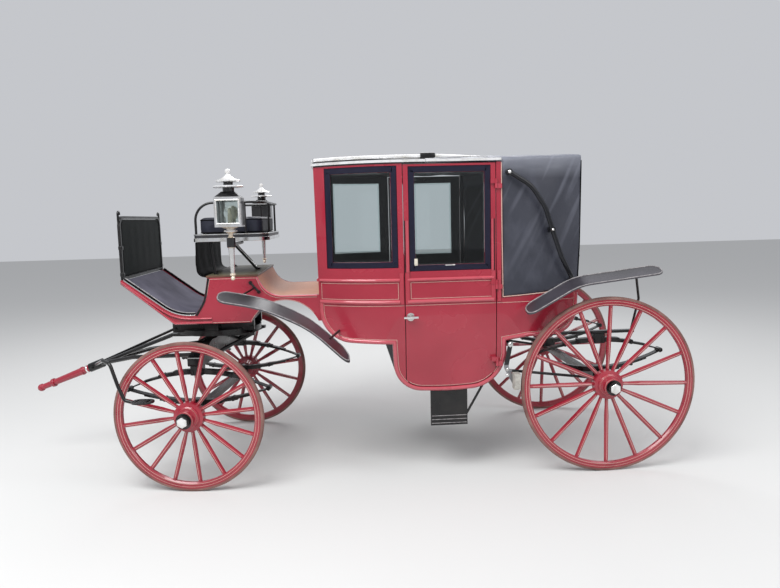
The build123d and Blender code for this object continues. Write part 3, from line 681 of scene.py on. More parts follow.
def linked(data):
    """New object in the scene."""
    piece = bpy.data.objects.new(data.name, data)
    bpy.context.scene.collection.objects.link(piece)
    return piece


def keep(name, pieces, slot, material, body="coach", turned=False):
    """Joins finished pieces and gives them their name, paint, place in the frame and body."""
    piece = joined(name, pieces)
    matrix = Matrix.Translation((KINGPIN_X, 0, 0))
    if turned:
        matrix = matrix @ Matrix.Rotation(PARKED_TURN, 4, "Z")
    placed(piece, matrix)
    piece.data.materials.clear()
    piece.data.materials.append(material)
    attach(piece, body)


def fit(name, pieces, slot, material, body="coach", turned=False):
    """Keeps pieces and their mirror images as one object."""
    piece = joined(name, pieces)
    keep(name, [piece, mirrored(piece)], slot, material, body, turned)


# The coach's outer surface


def circle_through(first, second, third):
    (ax, ay), (bx, by), (cx, cy) = first, second, third
    d = 2 * (ax * (by - cy) + bx * (cy - ay) + cx * (ay - by))
    sa, sb, sc = ax * ax + ay * ay, bx * bx + by * by, cx * cx + cy * cy
    x = (sa * (by - cy) + sb * (cy - ay) + sc * (ay - by)) / d
    y = (sa * (cx - bx) + sb * (ax - cx) + sc * (bx - ax)) / d
    return x, y, hypot(ax - x, ay - y)


UNDER = circle_through((0.606, 0.5), (0.64758, 0.855), (0.663, 1.21))


def side_y(x, z):
    """Half width of the coach at a place on its side."""
    width = HALF_WIDTH
    if x < FRONT_BEND_X:
        width -= FRONT_BEND - sqrt(FRONT_BEND**2 - (FRONT_BEND_X - x) ** 2)
    elif x > REAR_BEND_X:
        width -= REAR_BEND - sqrt(REAR_BEND**2 - (x - REAR_BEND_X) ** 2)
    if z < BELLY_Z:
        width = min(width, UNDER[0] + sqrt(UNDER[2] ** 2 - (z - UNDER[1]) ** 2))
    return width


def on_side(x, z, proud):
    return Vector((x, -side_y(x, z) - proud, z))


def on_front(y, z, proud):
    return Vector((FRONT_X + (2.2 - z) * 0.014 / 1.294 - proud, y, z))


def on_box(x, z, proud):
    return Vector((x, -BOX_HALF_WIDTH - proud, z))


def rounded(corners, closed=False, pieces=8):
    """Points along straight runs with rounded corners; rows are (first, second, radius)."""
    points = []
    count = len(corners)
    for index, (a, b, radius) in enumerate(corners):
        here = Vector((a, b))
        if radius == 0 or (not closed and index in (0, count - 1)):
            points.append(here)
            continue
        before = (Vector(corners[index - 1][:2]) - here).normalized()
        after = (Vector(corners[(index + 1) % count][:2]) - here).normalized()
        half = before.angle(after) / 2
        start = here + before * (radius / tan(half))
        end = here + after * (radius / tan(half))
        centre = here + (before + after).normalized() * (radius / sin(half))
        first, last = start - centre, end - centre
        sweep_angle = pi - 2 * half
        steps = max(2, int(pieces * sweep_angle / (pi / 2)))
        for step in range(steps + 1):
            t = step / steps
            arm = (first * sin((1 - t) * sweep_angle) + last * sin(t * sweep_angle)) / sin(sweep_angle)
            points.append(centre + arm)
    return points


def divided(points, step=0.03, closed=False):
    """The same path with no run longer than step."""
    out = []
    ends = points[1:] + points[:1] if closed else points[1:]
    for a, b in zip(points, ends):
        count = max(1, int((b - a).length / step + 0.999))
        out += [a.lerp(b, i / count) for i in range(count)]
    return out if closed else out + [points[-1]]


def curve(corners, step=0.03, closed=False, pieces=8):
    """Rounded path in short runs."""
    return divided(rounded(corners, closed, pieces), step, closed)


def path_length(points):
    return sum((b - a).length for a, b in zip(points, points[1:]))


def clipped(points, low, high):
    """The part of a path between two first coordinates."""
    out = []
    for a, b in zip(points, points[1:]):
        inside_a, inside_b = low <= a.x <= high, low <= b.x <= high
        if inside_a:
            out.append(a)
        if inside_a != inside_b:
            edge = low if min(a.x, b.x) < low else high
            out.append(a.lerp(b, (edge - a.x) / (b.x - a.x)))
    if low <= points[-1].x <= high:
        out.append(points[-1])
    return out


def bead_profile(width, height, centre=0.0, steps=5):
    """Half-round section, as (across, proud)."""
    angles = [pi * i / steps for i in range(steps + 1)]
    return [(centre + cos(a) * width / 2, sin(a) * height) for a in angles]


def flat_profile(low, high, height, edge=0.0008):
    """Flat section with eased edges."""
    edge = min(edge, height / 2, (high - low) / 3)
    rise = height - edge
    return [(high, 0), (high, rise), (high - edge, height), (low + edge, height), (low, rise), (low, 0)]


def eased(foot, top, low, high):
    """Section that runs across the path from foot to top, between low and high, eased at the top's edges."""
    ease = 0.001 if top > foot else -0.001
    return [
        (foot, low), (foot, high), (top - ease, high), (top, high - 0.001), (top, low + 0.001),
        (top - ease, low),
    ]


def moulding(path, profile, place, closed=False, sink=0.001):
    """Strip on a surface: a section carried along a path. Across is to the path's right."""
    points = []
    for p in path:
        p = Vector(p[:2])
        if not points or (p - points[-1]).length > 1e-5:
            points.append(p)
    if closed and (points[0] - points[-1]).length < 1e-5:
        points.pop()
    count = len(points)
    mesh = bmesh.new()
    rings = []
    for index, here in enumerate(points):
        runs = []
        if closed or index:
            runs.append((here - points[index - 1]).normalized())
        if closed or index < count - 1:
            runs.append((points[(index + 1) % count] - here).normalized())
        normals = [Vector((run.y, -run.x)) for run in runs]
        across = normals[0]
        if len(normals) == 2:
            across = (normals[0] + normals[1]) / (1 + max(-0.7, normals[0].dot(normals[1])))
        ring = []
        for offset, proud in profile:
            u, v = here + across * offset
            ring.append(mesh.verts.new(place(u, v, proud - sink if proud == 0 else proud)))
        rings.append(ring)
    for first, second in zip(rings, rings[1:] + rings[:1] if closed else rings[1:]):
        for i in range(len(profile)):
            j = (i + 1) % len(profile)
            mesh.faces.new((first[i], first[j], second[j], second[i]))
    if not closed:
        mesh.faces.new(rings[0])
        mesh.faces.new(rings[-1][::-1])
    bmesh.ops.recalc_face_normals(mesh, faces=mesh.faces)
    data = bpy.data.meshes.new("moulding")
    mesh.to_mesh(data)
    mesh.free()
    piece = linked(data)
    smooth(piece, 40)
    return piece


def rod(points, radius, sides=10, closed=False):
    """Round bar along points in space."""
    bar = bpy.data.curves.new("rod", "CURVE")
    bar.dimensions = "3D"
    bar.bevel_depth = radius
    bar.bevel_resolution = max(1, sides // 4)
    bar.use_fill_caps = True
    spline = bar.splines.new("POLY")
    spline.points.add(len(points) - 1)
    for point, place in zip(spline.points, points):
        point.co = (*place, 1)
    spline.use_cyclic_u = closed
    pick(linked(bar))
    bpy.ops.object.convert(target="MESH")
    smooth(bpy.context.object, 50)
    return bpy.context.object


def node_copy(node, voxel_size):
    """Merged copy of a CAD node's mesh in even small faces, back in metres behind the kingpin."""
    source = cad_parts[node]
    copy = source.copy()
    copy.data = source.data.copy()
    copy.parent = None
    copy.matrix_world = Matrix.Identity(4)
    bpy.context.scene.collection.objects.link(copy)
    pick(copy)
    bpy.ops.object.mode_set(mode="EDIT")
    bpy.ops.mesh.select_all(action="SELECT")
    bpy.ops.mesh.remove_doubles(threshold=0.00005)
    bpy.ops.object.mode_set(mode="OBJECT")
    moved(copy, (-KINGPIN_X, 0, 0))
    modify(copy, "REMESH", mode="VOXEL", voxel_size=voxel_size)
    return copy


def paint_node(node, material):
    """Gives a CAD node its material."""
    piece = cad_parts[node]
    if not piece.material_slots:
        piece.data.materials.append(material)
    for material_slot in piece.material_slots:
        material_slot.material = material


class CoachColours(bpy.types.PropertyGroup):
    """Colours of the coach."""

    body: bpy.props.FloatVectorProperty(
        name="Body", description="Paint of the body panels", subtype="COLOR", size=4, min=0, max=1,
        default=srgb("911a2e"),
    )
    wheel: bpy.props.FloatVectorProperty(
        name="Wheels", description="Paint of wheels and pole", subtype="COLOR", size=4, min=0, max=1,
        default=srgb("891025"),
    )
    line: bpy.props.FloatVectorProperty(
        name="Lines", description="Hand-drawn lines", subtype="COLOR", size=4, min=0, max=1,
        default=srgb("cdab9f"),
    )


class CoachSizes(bpy.types.PropertyGroup):
    """Sizes of the trim."""

    line_width: bpy.props.FloatProperty(
        name="Line width", description="Width of the painted lines", default=0.0028, min=0.001, max=0.01,
        unit="LENGTH",
    )
    band_width: bpy.props.FloatProperty(
        name="Band width", description="Width of the bead round the body's lower edge", default=0.026,
        min=0.01, max=0.05, unit="LENGTH",
    )


WELL_OUTLINE = [
    # x, z, corner radius
    (0.7505, 1.16, 0), (0.754, 0.906, 0.205), (1.218, 0.888, 0), (1.234, 0.572, 0.19),
    (1.6, 0.558, 1.5), (1.915, 0.58, 0.24), (1.966, 0.8, 0.1), (1.962, 0.886, 0),
    (2.1, 0.907, 0.2), (2.462, 0.907, 0.175), (2.4795, 1.175, 0),
]
# Heights of the belt's rails and lines above the panels
SEAM_Z = 1.137
LOW_RAIL_Z = 1.163
HIGH_RAIL_Z = 1.304
BELT_LOW_Z = 1.184
BELT_HIGH_Z = 1.284


class COACH_OT_paint(bpy.types.Operator):
    """Gives every shown node of the frame its finish"""

    bl_idname = "coach.paint"
    bl_label = "Paint the frame"

    def execute(self, context):
        panels = "front_quarters rear_quarters front_wall rear_wall left_door right_door cabin_floor"
        irons = (
            "body_irons front_axle rear_axle front_springs rear_springs lower_ring upper_ring fore_bed "
            "pole_irons driver_steps steps seat_irons seat_rail dashboard_frame landau_irons"
        )
        for nodes, material in (
            (panels, coach_paint("coach_red_lined")),
            ("box_sides", coach_paint()),
            ("front_guards rear_guards", guard_leather()),
            # The hinges take a red a little lighter than the body's, as painted highlight
            ("door_hinges", coach_paint("plate_red")),
            ("brake_gear", brake_finish()),
            ("lamps", lamp_finish()),
            ("roof", board_paint("roof_black", "131316", "26262a")),
            (irons, iron_paint()),
            ("drip_rails", silver("edge_silver")),
            ("left_door_handle right_door_handle", silver()),
            ("fixed_glass left_door_glass right_door_glass lamp_glass", pane_glass()),
            ("left_front_tyre right_front_tyre left_rear_tyre right_rear_tyre", tyre_rubber()),
            ("footboard seat_box driver_seat", board_paint("dark_board", "17171b", "2b2b30")),
            ("box_lid", board_paint("lid_olive", "4a4632", "676149", 0.6, 0.1)),
            ("neck_board", board_paint("neck_tan", "a66c4b", "c99276", 0.6, 0.05)),
            ("cabin_benches", leather("dark_cabin_leather")),
            ("pole", coach_paint("pole_red")),
        ):
            for node in nodes.split():
                paint_node(node, material)
        for side, sign in (("left", -1), ("right", 1)):
            front, rear = f"{side}_front_wheel", f"{side}_rear_wheel"
            paint_node(front, wheel_paint(front, 0.0, FRONT_RADIUS, 7.0, True, sign))
            paint_node(rear, wheel_paint(rear, REAR_AXLE_X, REAR_RADIUS, -1.0, False, sign))
        return {"FINISHED"}


def both_doors(name, pieces, slot, material):
    """Keeps a door's pieces and their mirror images, each on its own door."""
    piece = joined(name, pieces)
    other = mirrored(piece)
    keep("left_" + name, [piece], slot, material, "left_door")
    keep("right_" + name, [other], slot, material, "right_door")


def rectangle(low_x, high_x, low_z, high_z, step=0.03):
    """Closed path round a rectangle, clockwise seen from outside on the coach's left."""
    corners = [(low_x, low_z), (low_x, high_z), (high_x, high_z), (high_x, low_z)]
    return divided([Vector(c) for c in corners], step, closed=True)


def straight(first, last, step=0.03):
    return divided([Vector(first), Vector(last)], step)


def belt_rails(low, high, place):
    """The two rounded rails of the belt between two positions."""
    rows = ((LOW_RAIL_Z, bead_profile(0.026, 0.014)), (HIGH_RAIL_Z, bead_profile(0.022, 0.013)))
    return [moulding(straight((low, z), (high, z)), section, place) for z, section in rows]


def upright(first, last, low, high, height):
    """Flat upright strip on the coach's side between two positions and two heights."""
    half = (last - first) / 2
    path = straight((first + half, low), (first + half, high))
    return moulding(path, flat_profile(-half, half, height, 0.004), on_side)


class COACH_OT_body_trim(bpy.types.Operator):
    """Adds the beads, rails and painted lines of the body"""

    bl_idname = "coach.body_trim"
    bl_label = "Body trim"

    def execute(self, context):
        line, band = sizes().line_width, sizes().band_width
        well = curve(WELL_OUTLINE, 0.025)
        # The well's band and the rails take a lighter, paler red as painted highlight
        bright = coach_paint("bead_red")
        # Walking from front to rear the inside of the panel lies to the left, so across is negative
        rim = moulding(well, bead_profile(band, 0.01, -band / 2 - 0.001), on_side)
        fit("well_band", [rim], "coach_paint", bright)

        def drawn(path, inset=0.0, closed=False):
            section = [(-a, b) for a, b in flat_profile(inset, inset + line, 0.0007)]
            return moulding(path, section, on_side, closed, sink=0.0005)

        parts = []
        for low, high, top_low, top_high in (
            (0.75, DOOR_FRONT_X - 0.002, 0.785, DOOR_FRONT_X - 0.003),
            (DOOR_REAR_X + 0.003, 2.6, DOOR_REAR_X + 0.003, 2.452),
        ):
            parts.append(drawn(clipped(well, low, high), band + 0.0025))
            parts.append(drawn(straight((top_low, SEAM_Z), (top_high, SEAM_Z))))
        parts.append(drawn(rectangle(0.772, 1.262, BELT_LOW_Z, BELT_HIGH_Z), closed=True))
        fit("body_lines", parts, "coach_paint", line_paint())
        parts = [
            drawn(clipped(well, DOOR_FRONT_X + 0.004, DOOR_REAR_X - 0.004), 0.0355),
            drawn(straight((DOOR_FRONT_X + 0.007, SEAM_Z), (DOOR_REAR_X - 0.007, SEAM_Z))),
            drawn(rectangle(1.346, 1.866, BELT_LOW_Z, BELT_HIGH_Z), closed=True),
        ]
        both_doors("door_lines", parts, "coach_paint", line_paint())
        fit("quarter_rails", belt_rails(0.757, 1.272, on_side), "coach_paint", bright)
        rails = belt_rails(1.322, 1.88, on_side)
        strips = [upright(*ends, 1.352, 1.68, 0.012) for ends in ((1.3155, 1.3365), (1.8655, 1.8805))]
        shadows = [upright(*ends, 1.352, 1.68, 0.003) for ends in ((1.3085, 1.3145), (1.8815, 1.8885))]
        door_plates = [upright(*ends, 1.149, 1.35, 0.009) for ends in ((1.3085, 1.3375), (1.864, 1.8925))]
        # Painted highlight: strips and plates take reds lighter than the body's, and the shadow gaps are
        # strips of painted shadow
        plate_red = coach_paint("plate_red")
        for name, parts, material in (
            ("door_rails", rails, bright),
            ("door_strips", strips, coach_paint("strip_red")),
            ("door_shadow_gaps", shadows, iron_paint()),
            ("belt_plates", door_plates, plate_red),
        ):
            both_doors(name, parts, "coach_paint", material)
        plates = [upright(*ends, 1.149, 1.35, 0.009) for ends in ((1.271, 1.2995), (1.9045, 1.9285))]
        fit("pillar_plates", plates, "coach_paint", plate_red)
        keep("front_rails", belt_rails(-0.462, 0.462, on_front), "coach_paint", bright)
        return {"FINISHED"}


class COACH_OT_roof_edge(bpy.types.Operator):
    """Adds the upper bright moulding round the roof's edge and the catches over the doors"""

    bl_idname = "coach.roof_edge"
    bl_label = "Roof edge"

    def execute(self, context):
        def on_roof_edge(x, z, proud):
            return Vector((x, 0.006 - side_y(max(x, FRONT_X), 2.0) - proud, z))

        def on_front_edge(y, z, proud):
            return on_front(y, z, proud - 0.006)

        # It thins out towards the hood
        section = bead_profile(0.022, 0.016)
        upper = moulding(straight((0.745, 2.079), (1.85, 2.079)), section, on_roof_edge)
        for vertex in upper.data.vertices:
            vertex.co.z = 2.068 + (vertex.co.z - 2.068) * min(1.0, max(0.15, (1.88 - vertex.co.x) / 0.35))
        mouldings = [upper, mirrored(upper)]
        mouldings.append(moulding(straight((-0.468, 2.079), (0.468, 2.079)), section, on_front_edge))
        keep("upper_mouldings", mouldings, "silver", silver("edge_silver"))
        catch = box((1.418, -0.678, 2.066), (1.512, -0.64, 2.099), 0.006)
        fit("roof_catches", [catch], "black_iron", iron_paint())
        return {"FINISHED"}


class COACH_OT_windows(bpy.types.Operator):
    """Adds the dark window frames, the bevelled edges of the panes and the pulls"""

    bl_idname = "coach.windows"
    bl_label = "Window frames"

    def execute(self, context):
        def inset(opening, gap):
            low_x, high_x, low_z, high_z = opening
            return rectangle(low_x + gap, high_x - gap, low_z + gap, high_z - gap)

        def sash(opening, place):
            section = [(a, b - 0.0075) for a, b in flat_profile(0, 0.0385, 0.0065, 0.003)]
            return moulding(inset(opening, 0.0005), section, place, closed=True, sink=0)

        def bevel(opening, place):
            section = [(0.012, -0.0115), (0.0, -0.0085), (0.0, -0.0115)]
            return moulding(inset(opening, 0.0395), section, place, closed=True, sink=0)

        quarter = (0.812, 1.268, 1.382, 2.024)
        door = (1.338, 1.864, 1.357, 2.018)
        front = (-0.425, -0.012, 1.4, 2.005)
        fit("quarter_sashes", [sash(quarter, on_side)], "coach_paint", frame_paint())
        fit("quarter_bevels", [bevel(quarter, on_side)], "pane", pane_glass())
        both_doors("door_sash", [sash(door, on_side)], "coach_paint", frame_paint())
        both_doors("door_bevel", [bevel(door, on_side)], "pane", pane_glass())
        pull = box((1.369, -0.6635, 1.394), (1.391, -0.6555, 1.438), 0.003)
        ivory = board_paint("ivory_pull", "bdb6a6", "d8d2c4", 1.0, 0.4)
        both_doors("door_pull", [pull], "coach_paint", ivory)
        catch = box((1.567, -0.6615, 1.389), (1.63, -0.6555, 1.396), 0.002)
        both_doors("sash_catch", [catch], "silver", silver())
        fit("front_sashes", [sash(front, on_front)], "coach_paint", frame_paint())
        fit("front_bevels", [bevel(front, on_front)], "pane", pane_glass())
        return {"FINISHED"}


class COACH_OT_hood(bpy.types.Operator):
    """Replaces the plain hood with creased leather, its piping and its stays' bosses"""

    bl_idname = "coach.hood"
    bl_label = "Leather hood"

    def execute(self, context):
        hood = node_copy("hood", 0.011)
        modify(hood, "SMOOTH", factor=0.5, iterations=4)
        normals = [vertex.normal.copy() for vertex in hood.data.vertices]
        for vertex, normal in zip(hood.data.vertices, normals):
            x, y, z = vertex.co
            side = abs(y) / side_y(min(max(x, FRONT_X), REAR_X), z)
            # Slack folds run down from the top corner behind the door
            slant = (x - 1.93) * 0.8 + (2.06 - z) * 0.35
            fold = sin(slant * 21 + 1.2) * sin((z - 1.2) * 3.4)
            push = 0.0052 * fold * max(0.0, side - 0.6) * 2.5
            if z > 2.0:
                push += 0.002 * sin(x * 24)
            push += 0.0009 * sin(x * 37 + z * 11) * sin(z * 23 - x * 9 + 2)
            vertex.co += normal * (push - 0.0015)
        smooth(hood, 60)
        keep("hood_leather", [hood], "leather", leather("hood_leather"))
        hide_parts("hood")
        # Piping on the front and lower edges
        edge = [(1.9335, 2.03), (1.9345, 1.7), (1.94, 1.176), (2.229, 1.191), (2.44, 1.241)]
        path = divided([Vector(place) for place in edge])
        piping = moulding(path, bead_profile(0.007, 0.006), on_side)
        fit("hood_piping", [piping], "leather", line_paint())
        welt = rod([(2.4813, -0.532, 1.2425), (2.4813, 0.532, 1.2425)], 0.0035, 8)
        keep("rear_piping", [welt], "leather", line_paint())
        corner = [
            (2.4775, -0.5335, 1.25), (2.478, -0.5335, 1.3), (2.4875, -0.533, 1.5),
            (2.4935, -0.528, 1.81), (2.498, -0.522, 2.000), (2.4985, -0.52, 2.045),
        ]
        fit("hood_seams", [rod(corner, 0.0045, 8)], "leather", leather())
        bosses = []
        for wide, place in ((0.0125, (1.976, -0.699, 1.969)), (0.0095, (2.262, -0.672, 1.6))):
            rows = [(wide, 0), (wide, 0.005), (wide * 0.8, 0.009), (wide * 0.45, 0.012), (0.001, 0.013)]
            bosses.append(moved(turned_form(rows, 20), place, OUTWARDS))
        fit("stay_bosses", bosses, "silver", silver())
        # The S-shaped stays swell a little round their irons
        rows = [
            # x, z, reach beyond the half width, bend radius
            (1.976, 1.969, 0.03, 0.0), (2.12, 1.88, 0.022, 0.2), (2.215, 1.74, 0.008, 0.2),
            (2.262, 1.6, 0.0, 0.2), (2.33, 1.42, -0.02, 0.2), (2.42, 1.265, -0.056, 0.0),
        ]

        def stay_y(height):
            for (_, high, near, _), (_, low, far, _) in zip(rows, rows[1:]):
                if height >= low:
                    return -HALF_WIDTH - far - (near - far) * (height - low) / (high - low)
            return -HALF_WIDTH - rows[-1][2]

        path = curve([(x, z, radius) for x, z, reach, radius in rows], 0.02)
        stay = rod([(p.x, stay_y(p.y), p.y) for p in path], 0.015, 14)
        for vertex in stay.data.vertices:
            middle = stay_y(vertex.co.z)
            vertex.co.y = middle - 0.004 + (vertex.co.y - middle) * 0.72
        fit("landau_stays", [stay], "black_iron", stay_enamel())
        return {"FINISHED"}


class COACH_OT_lamp_parts(bpy.types.Operator):
    """Puts a reflector and a candle in each lamp and a bright moulding round its glass"""

    bl_idname = "coach.lamp_parts"
    bl_label = "Inside of the lamps"

    def execute(self, context):
        def in_lamp(rows, sides):
            """Form turned about the lamp's own upright axis."""
            return moved(turned_form(rows, sides), (LAMP_X, -LAMP_Y, 0))

        def on_face(u, v, proud):
            return Vector((LAMP_X + u, -LAMP_Y - 0.0775 - proud, v))

        dish = [(0.01, 0.0), (0.03, 0.002), (0.044, 0.006), (0.046, 0.006), (0.032, 0.0), (0.01, -0.002)]
        reflector = moved(turned_form(dish, 32), (LAMP_X, 0.062 - LAMP_Y, 1.755), OUTWARDS)
        face = rectangle(-0.066, 0.066, 1.691, 1.829, 0.2)
        moulded = moulding(face, bead_profile(0.007, 0.004), on_face, closed=True)
        lower_rim = [
            (0.079, 1.9035), (0.0865, 1.9035), (0.0905, 1.9065),
            (0.0905, 1.9115), (0.0865, 1.9145), (0.079, 1.9145),
        ]
        upper_rim = [
            (0.061, 1.9375), (0.0685, 1.9375), (0.0725, 1.9405),
            (0.0725, 1.9455), (0.0685, 1.949), (0.06, 1.95),
        ]
        rims = [in_lamp(rows, 48) for rows in (lower_rim, upper_rim)]
        back = box((LAMP_X - 0.066, 0.0665 - LAMP_Y, 1.688), (LAMP_X + 0.066, 0.0685 - LAMP_Y, 1.834))
        rear = box((LAMP_X + 0.0665, -0.066 - LAMP_Y, 1.688), (LAMP_X + 0.0685, 0.066 - LAMP_Y, 1.834))
        fit("lamp_mirrors", [reflector, back, rear], "silver", mirror_plate())
        fit("lamp_brights", [moulded, *rims], "silver", silver("lamp_plate"))
        post = [
            (0.0125, 1.3925), (0.018, 1.542), (0.02, 1.5435), (0.02, 1.5485), (0.0265, 1.5495), (0.015, 1.55),
        ]
        collar = [
            (0.03, 1.6405), (0.0415, 1.642), (0.0415, 1.6505), (0.026, 1.655), (0.024, 1.663), (0.034, 1.67),
        ]
        sleeves = [in_lamp(rows, 24) for rows in (post, collar)]
        fit("lamp_posts", sleeves, "silver", silver("post_silver"))
        candle = [
            (0.013, 1.6795), (0.013, 1.742), (0.012, 1.745), (0.011, 1.745), (0.011, 1.779), (0.009, 1.782),
            (0.0015, 1.783), (0.0015, 1.792),
        ]
        wax = board_paint("candle_wax", "b9b29a", "d6d0ba", 1.0, 0.3)
        fit("candles", [in_lamp(candle, 20)], "silver", wax)
        return {"FINISHED"}


class COACH_OT_driver_box(bpy.types.Operator):
    """Adds the box's beads and lines, the footboard mat and the lid's edge"""

    bl_idname = "coach.driver_box"
    bl_label = "Driver's box"

    def execute(self, context):
        line = sizes().line_width
        upper = curve([(-0.52, 1.33, 0), (-0.194, 1.0765, 0.29), (0.045, 1.0745, 0)])
        lower = curve([(-0.522, 1.319, 0), (-0.197, 1.04, 0.03), (0.046, 1.04, 0)])
        beads = [
            moulding(upper, bead_profile(0.012, 0.012), on_box),
            moulding(lower, bead_profile(0.014, 0.012, -0.008), on_box),
        ]
        # The box's beads take a lighter, paler red as painted highlight
        fit("box_beads", beads, "coach_paint", coach_paint("bead_red"))
        # Painted shadow: a dark strip beside the upper bead, between the two beads
        bead_shadow = moulding(upper, flat_profile(0.0065, 0.0115, 0.0006), on_box, sink=0.0005)
        fit("painted_bead_shadows", [bead_shadow], "coach_paint", coach_paint("groove_red"))
        top = curve([(-0.506, 1.3425, 0), (-0.19, 1.1005, 0.28), (-0.0635, 1.0985, 0)], 0.02, pieces=24)

        def across_box(u, v, h):
            return Vector((u, h, v))

        for name, foot, low, high, rise, slot, material in (
            ("footboard_edges", 0.002, -0.4815, -0.4725, 0.004, "silver", silver()),
            ("footboard_borders", 0.002, -0.472, -0.46, 0.015, "black_iron", leather()),
            ("mat_edgings", -0.015, -0.472, -0.46, 0.018, "silver", guard_edge()),
        ):
            strip = moulding(top, eased(foot, -rise, low, high), across_box, sink=0)
            fit(name, [strip], slot, material)
        front = curve([(-0.06, 1.1, 0), (-0.001, 1.19, 0.2), (0.0285, 1.34, 0)])
        front_edge = moulding(front, bead_profile(0.014, 0.006, 0.007), on_box)
        fit("box_front_edges", [front_edge], "black_iron", iron_paint())
        neck = curve([(0.352, 1.341, 0), (0.4145, 1.2105, 0.15), (0.738, 1.2105, 0)])
        neck_bead = moulding(neck, bead_profile(0.011, 0.007, 0.0055), on_box)
        # The neck's bead is paler and lighter: wear together with painted highlight
        fit("neck_beads", [neck_bead], "coach_paint", coach_paint("worn_bead"))
        panel = [
            (-0.052, 1.105, 0), (0.011, 1.19, 0.2), (0.042, 1.334, 0),
            (0.344, 1.334, 0), (0.402, 1.196, 0.15), (0.735, 1.196, 0),
        ]
        arch = [
            Vector((0.52 + 0.247 * cos(radians(a)), 0.938 + 0.247 * sin(radians(a))))
            for a in range(154, 35, -4)
        ]
        paths = [curve(panel), [p for p in arch if p.x < 0.738], straight((-0.19, 1.047), (0.29, 1.047))]
        parts = [moulding(path, flat_profile(0, line, 0.0007), on_box, sink=0.0005) for path in paths]
        fit("box_lines", parts, "coach_paint", line_paint())
        slope = curve([(-0.508, 1.336, 0), (-0.188, 1.094, 0.27), (-0.07, 1.094, 0)])
        section = [
            (-0.0005, -0.43), (-0.0005, 0.43), (-0.006, 0.43),
            (-0.0075, 0.424), (-0.0075, -0.424), (-0.006, -0.43),
        ]
        mat = moulding(slope, section, across_box, sink=0)
        keep("footboard_mat", [mat], "floor_board", box_mat())
        path_length(slope)
        edges = [
            box((low_x, low_y, 1.3435), (high_x, high_y, 1.3555), 0.001, 1)
            for low_x, low_y, high_x, high_y in (
                (0.0215, -0.4825, 0.3585, -0.4795), (0.0215, 0.4795, 0.3585, 0.4825),
                (0.0215, -0.4795, 0.0245, 0.4795), (0.3555, -0.4795, 0.3585, 0.4795),
            )
        ]
        keep("lid_edges", edges, "lid", board_paint("lid_edge_brown", "4a2c1e", "6b4630", 0.6, 0.3))
        return {"FINISHED"}


class COACH_OT_dashboard(bpy.types.Operator):
    """Replaces the plain dashboard with full leather, its hem, clips and the frame's hooks"""

    bl_idname = "coach.dashboard"
    bl_label = "Dashboard leather"

    def execute(self, context):
        dash = node_copy("dashboard", 0.006)
        for vertex in dash.data.vertices:
            x, y, z = vertex.co
            across, up = max(0.0, 1 - (y / 0.446) ** 2), max(0.0, 1 - ((z - 1.55) / 0.187) ** 2)
            full = sqrt(across * up)
            ripple = sin(y * 42) * 0.0006 * full
            vertex.co.x += (-0.0035 * full if x < DASH_X else 0.0035 * full) + ripple
        smooth(dash, 60)
        keep("dashboard_leather", [dash], "leather", leather("dashboard_leather"))
        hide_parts("dashboard")
        # The leather's stitched hem and the clips that hold it to the frame
        outline = [(-0.43, 1.376, 0.012), (-0.43, 1.724, 0.045), (0.43, 1.724, 0.045), (0.43, 1.376, 0.012)]
        path = curve(outline, closed=True)
        hems = []
        for side in (-1, 1):

            def on_dash(u, v, proud, side=side):
                return Vector((DASH_X + side * (0.0052 + proud), u, v))

            hems.append(moulding(path, bead_profile(0.004, 0.0022), on_dash, closed=True))
        keep("dashboard_hems", hems, "leather", leather())
        clips = [
            box((-0.5275, -0.47, z - 0.012), (-0.5045, -0.434, z + 0.012), 0.003) for z in (1.378, 1.551)
        ]
        fit("dashboard_clips", clips, "black_iron", iron_paint())
        # The frame's side rods end in hooks above the leather
        hook = [
            (-0.452, 1.69, 0), (-0.466, 1.722, 0.03), (-0.466, 1.784, 0.014), (-0.44, 1.784, 0.012),
            (-0.44, 1.764, 0),
        ]
        horn = rod([(DASH_X, p.x, p.y) for p in rounded(hook)], 0.0075, 10)
        fit("dashboard_horns", [horn], "black_iron", iron_paint())
        return {"FINISHED"}


def swollen(piece, shrink, cap):
    """Blows a slightly smaller copy of a pad up as cloth, each point moving no further than a cap."""
    modify(piece, "SMOOTH", factor=0.5, iterations=3)
    normals = [vertex.normal.copy() for vertex in piece.data.vertices]
    for vertex, normal in zip(piece.data.vertices, normals):
        vertex.co -= normal * shrink
    before = [vertex.co.copy() for vertex in piece.data.vertices]
    pick(piece)
    modifier = piece.modifiers.new("cloth", "CLOTH")
    modifier.settings.use_pressure = True
    modifier.settings.uniform_pressure_force = CUSHION_PRESSURE
    modifier.settings.effector_weights.gravity = 0
    modifier.collision_settings.use_collision = False
    for number in range(1, CUSHION_FRAMES + 1):
        bpy.context.scene.frame_set(number)
    bpy.ops.object.modifier_apply(modifier=modifier.name)
    bpy.context.scene.frame_set(1)
    for vertex, start in zip(piece.data.vertices, before):
        way = vertex.co - start
        if way.length > cap:
            vertex.co = start + way * (cap / way.length)
    modify(piece, "SMOOTH", factor=0.5, iterations=4)
    smooth(piece, 60)


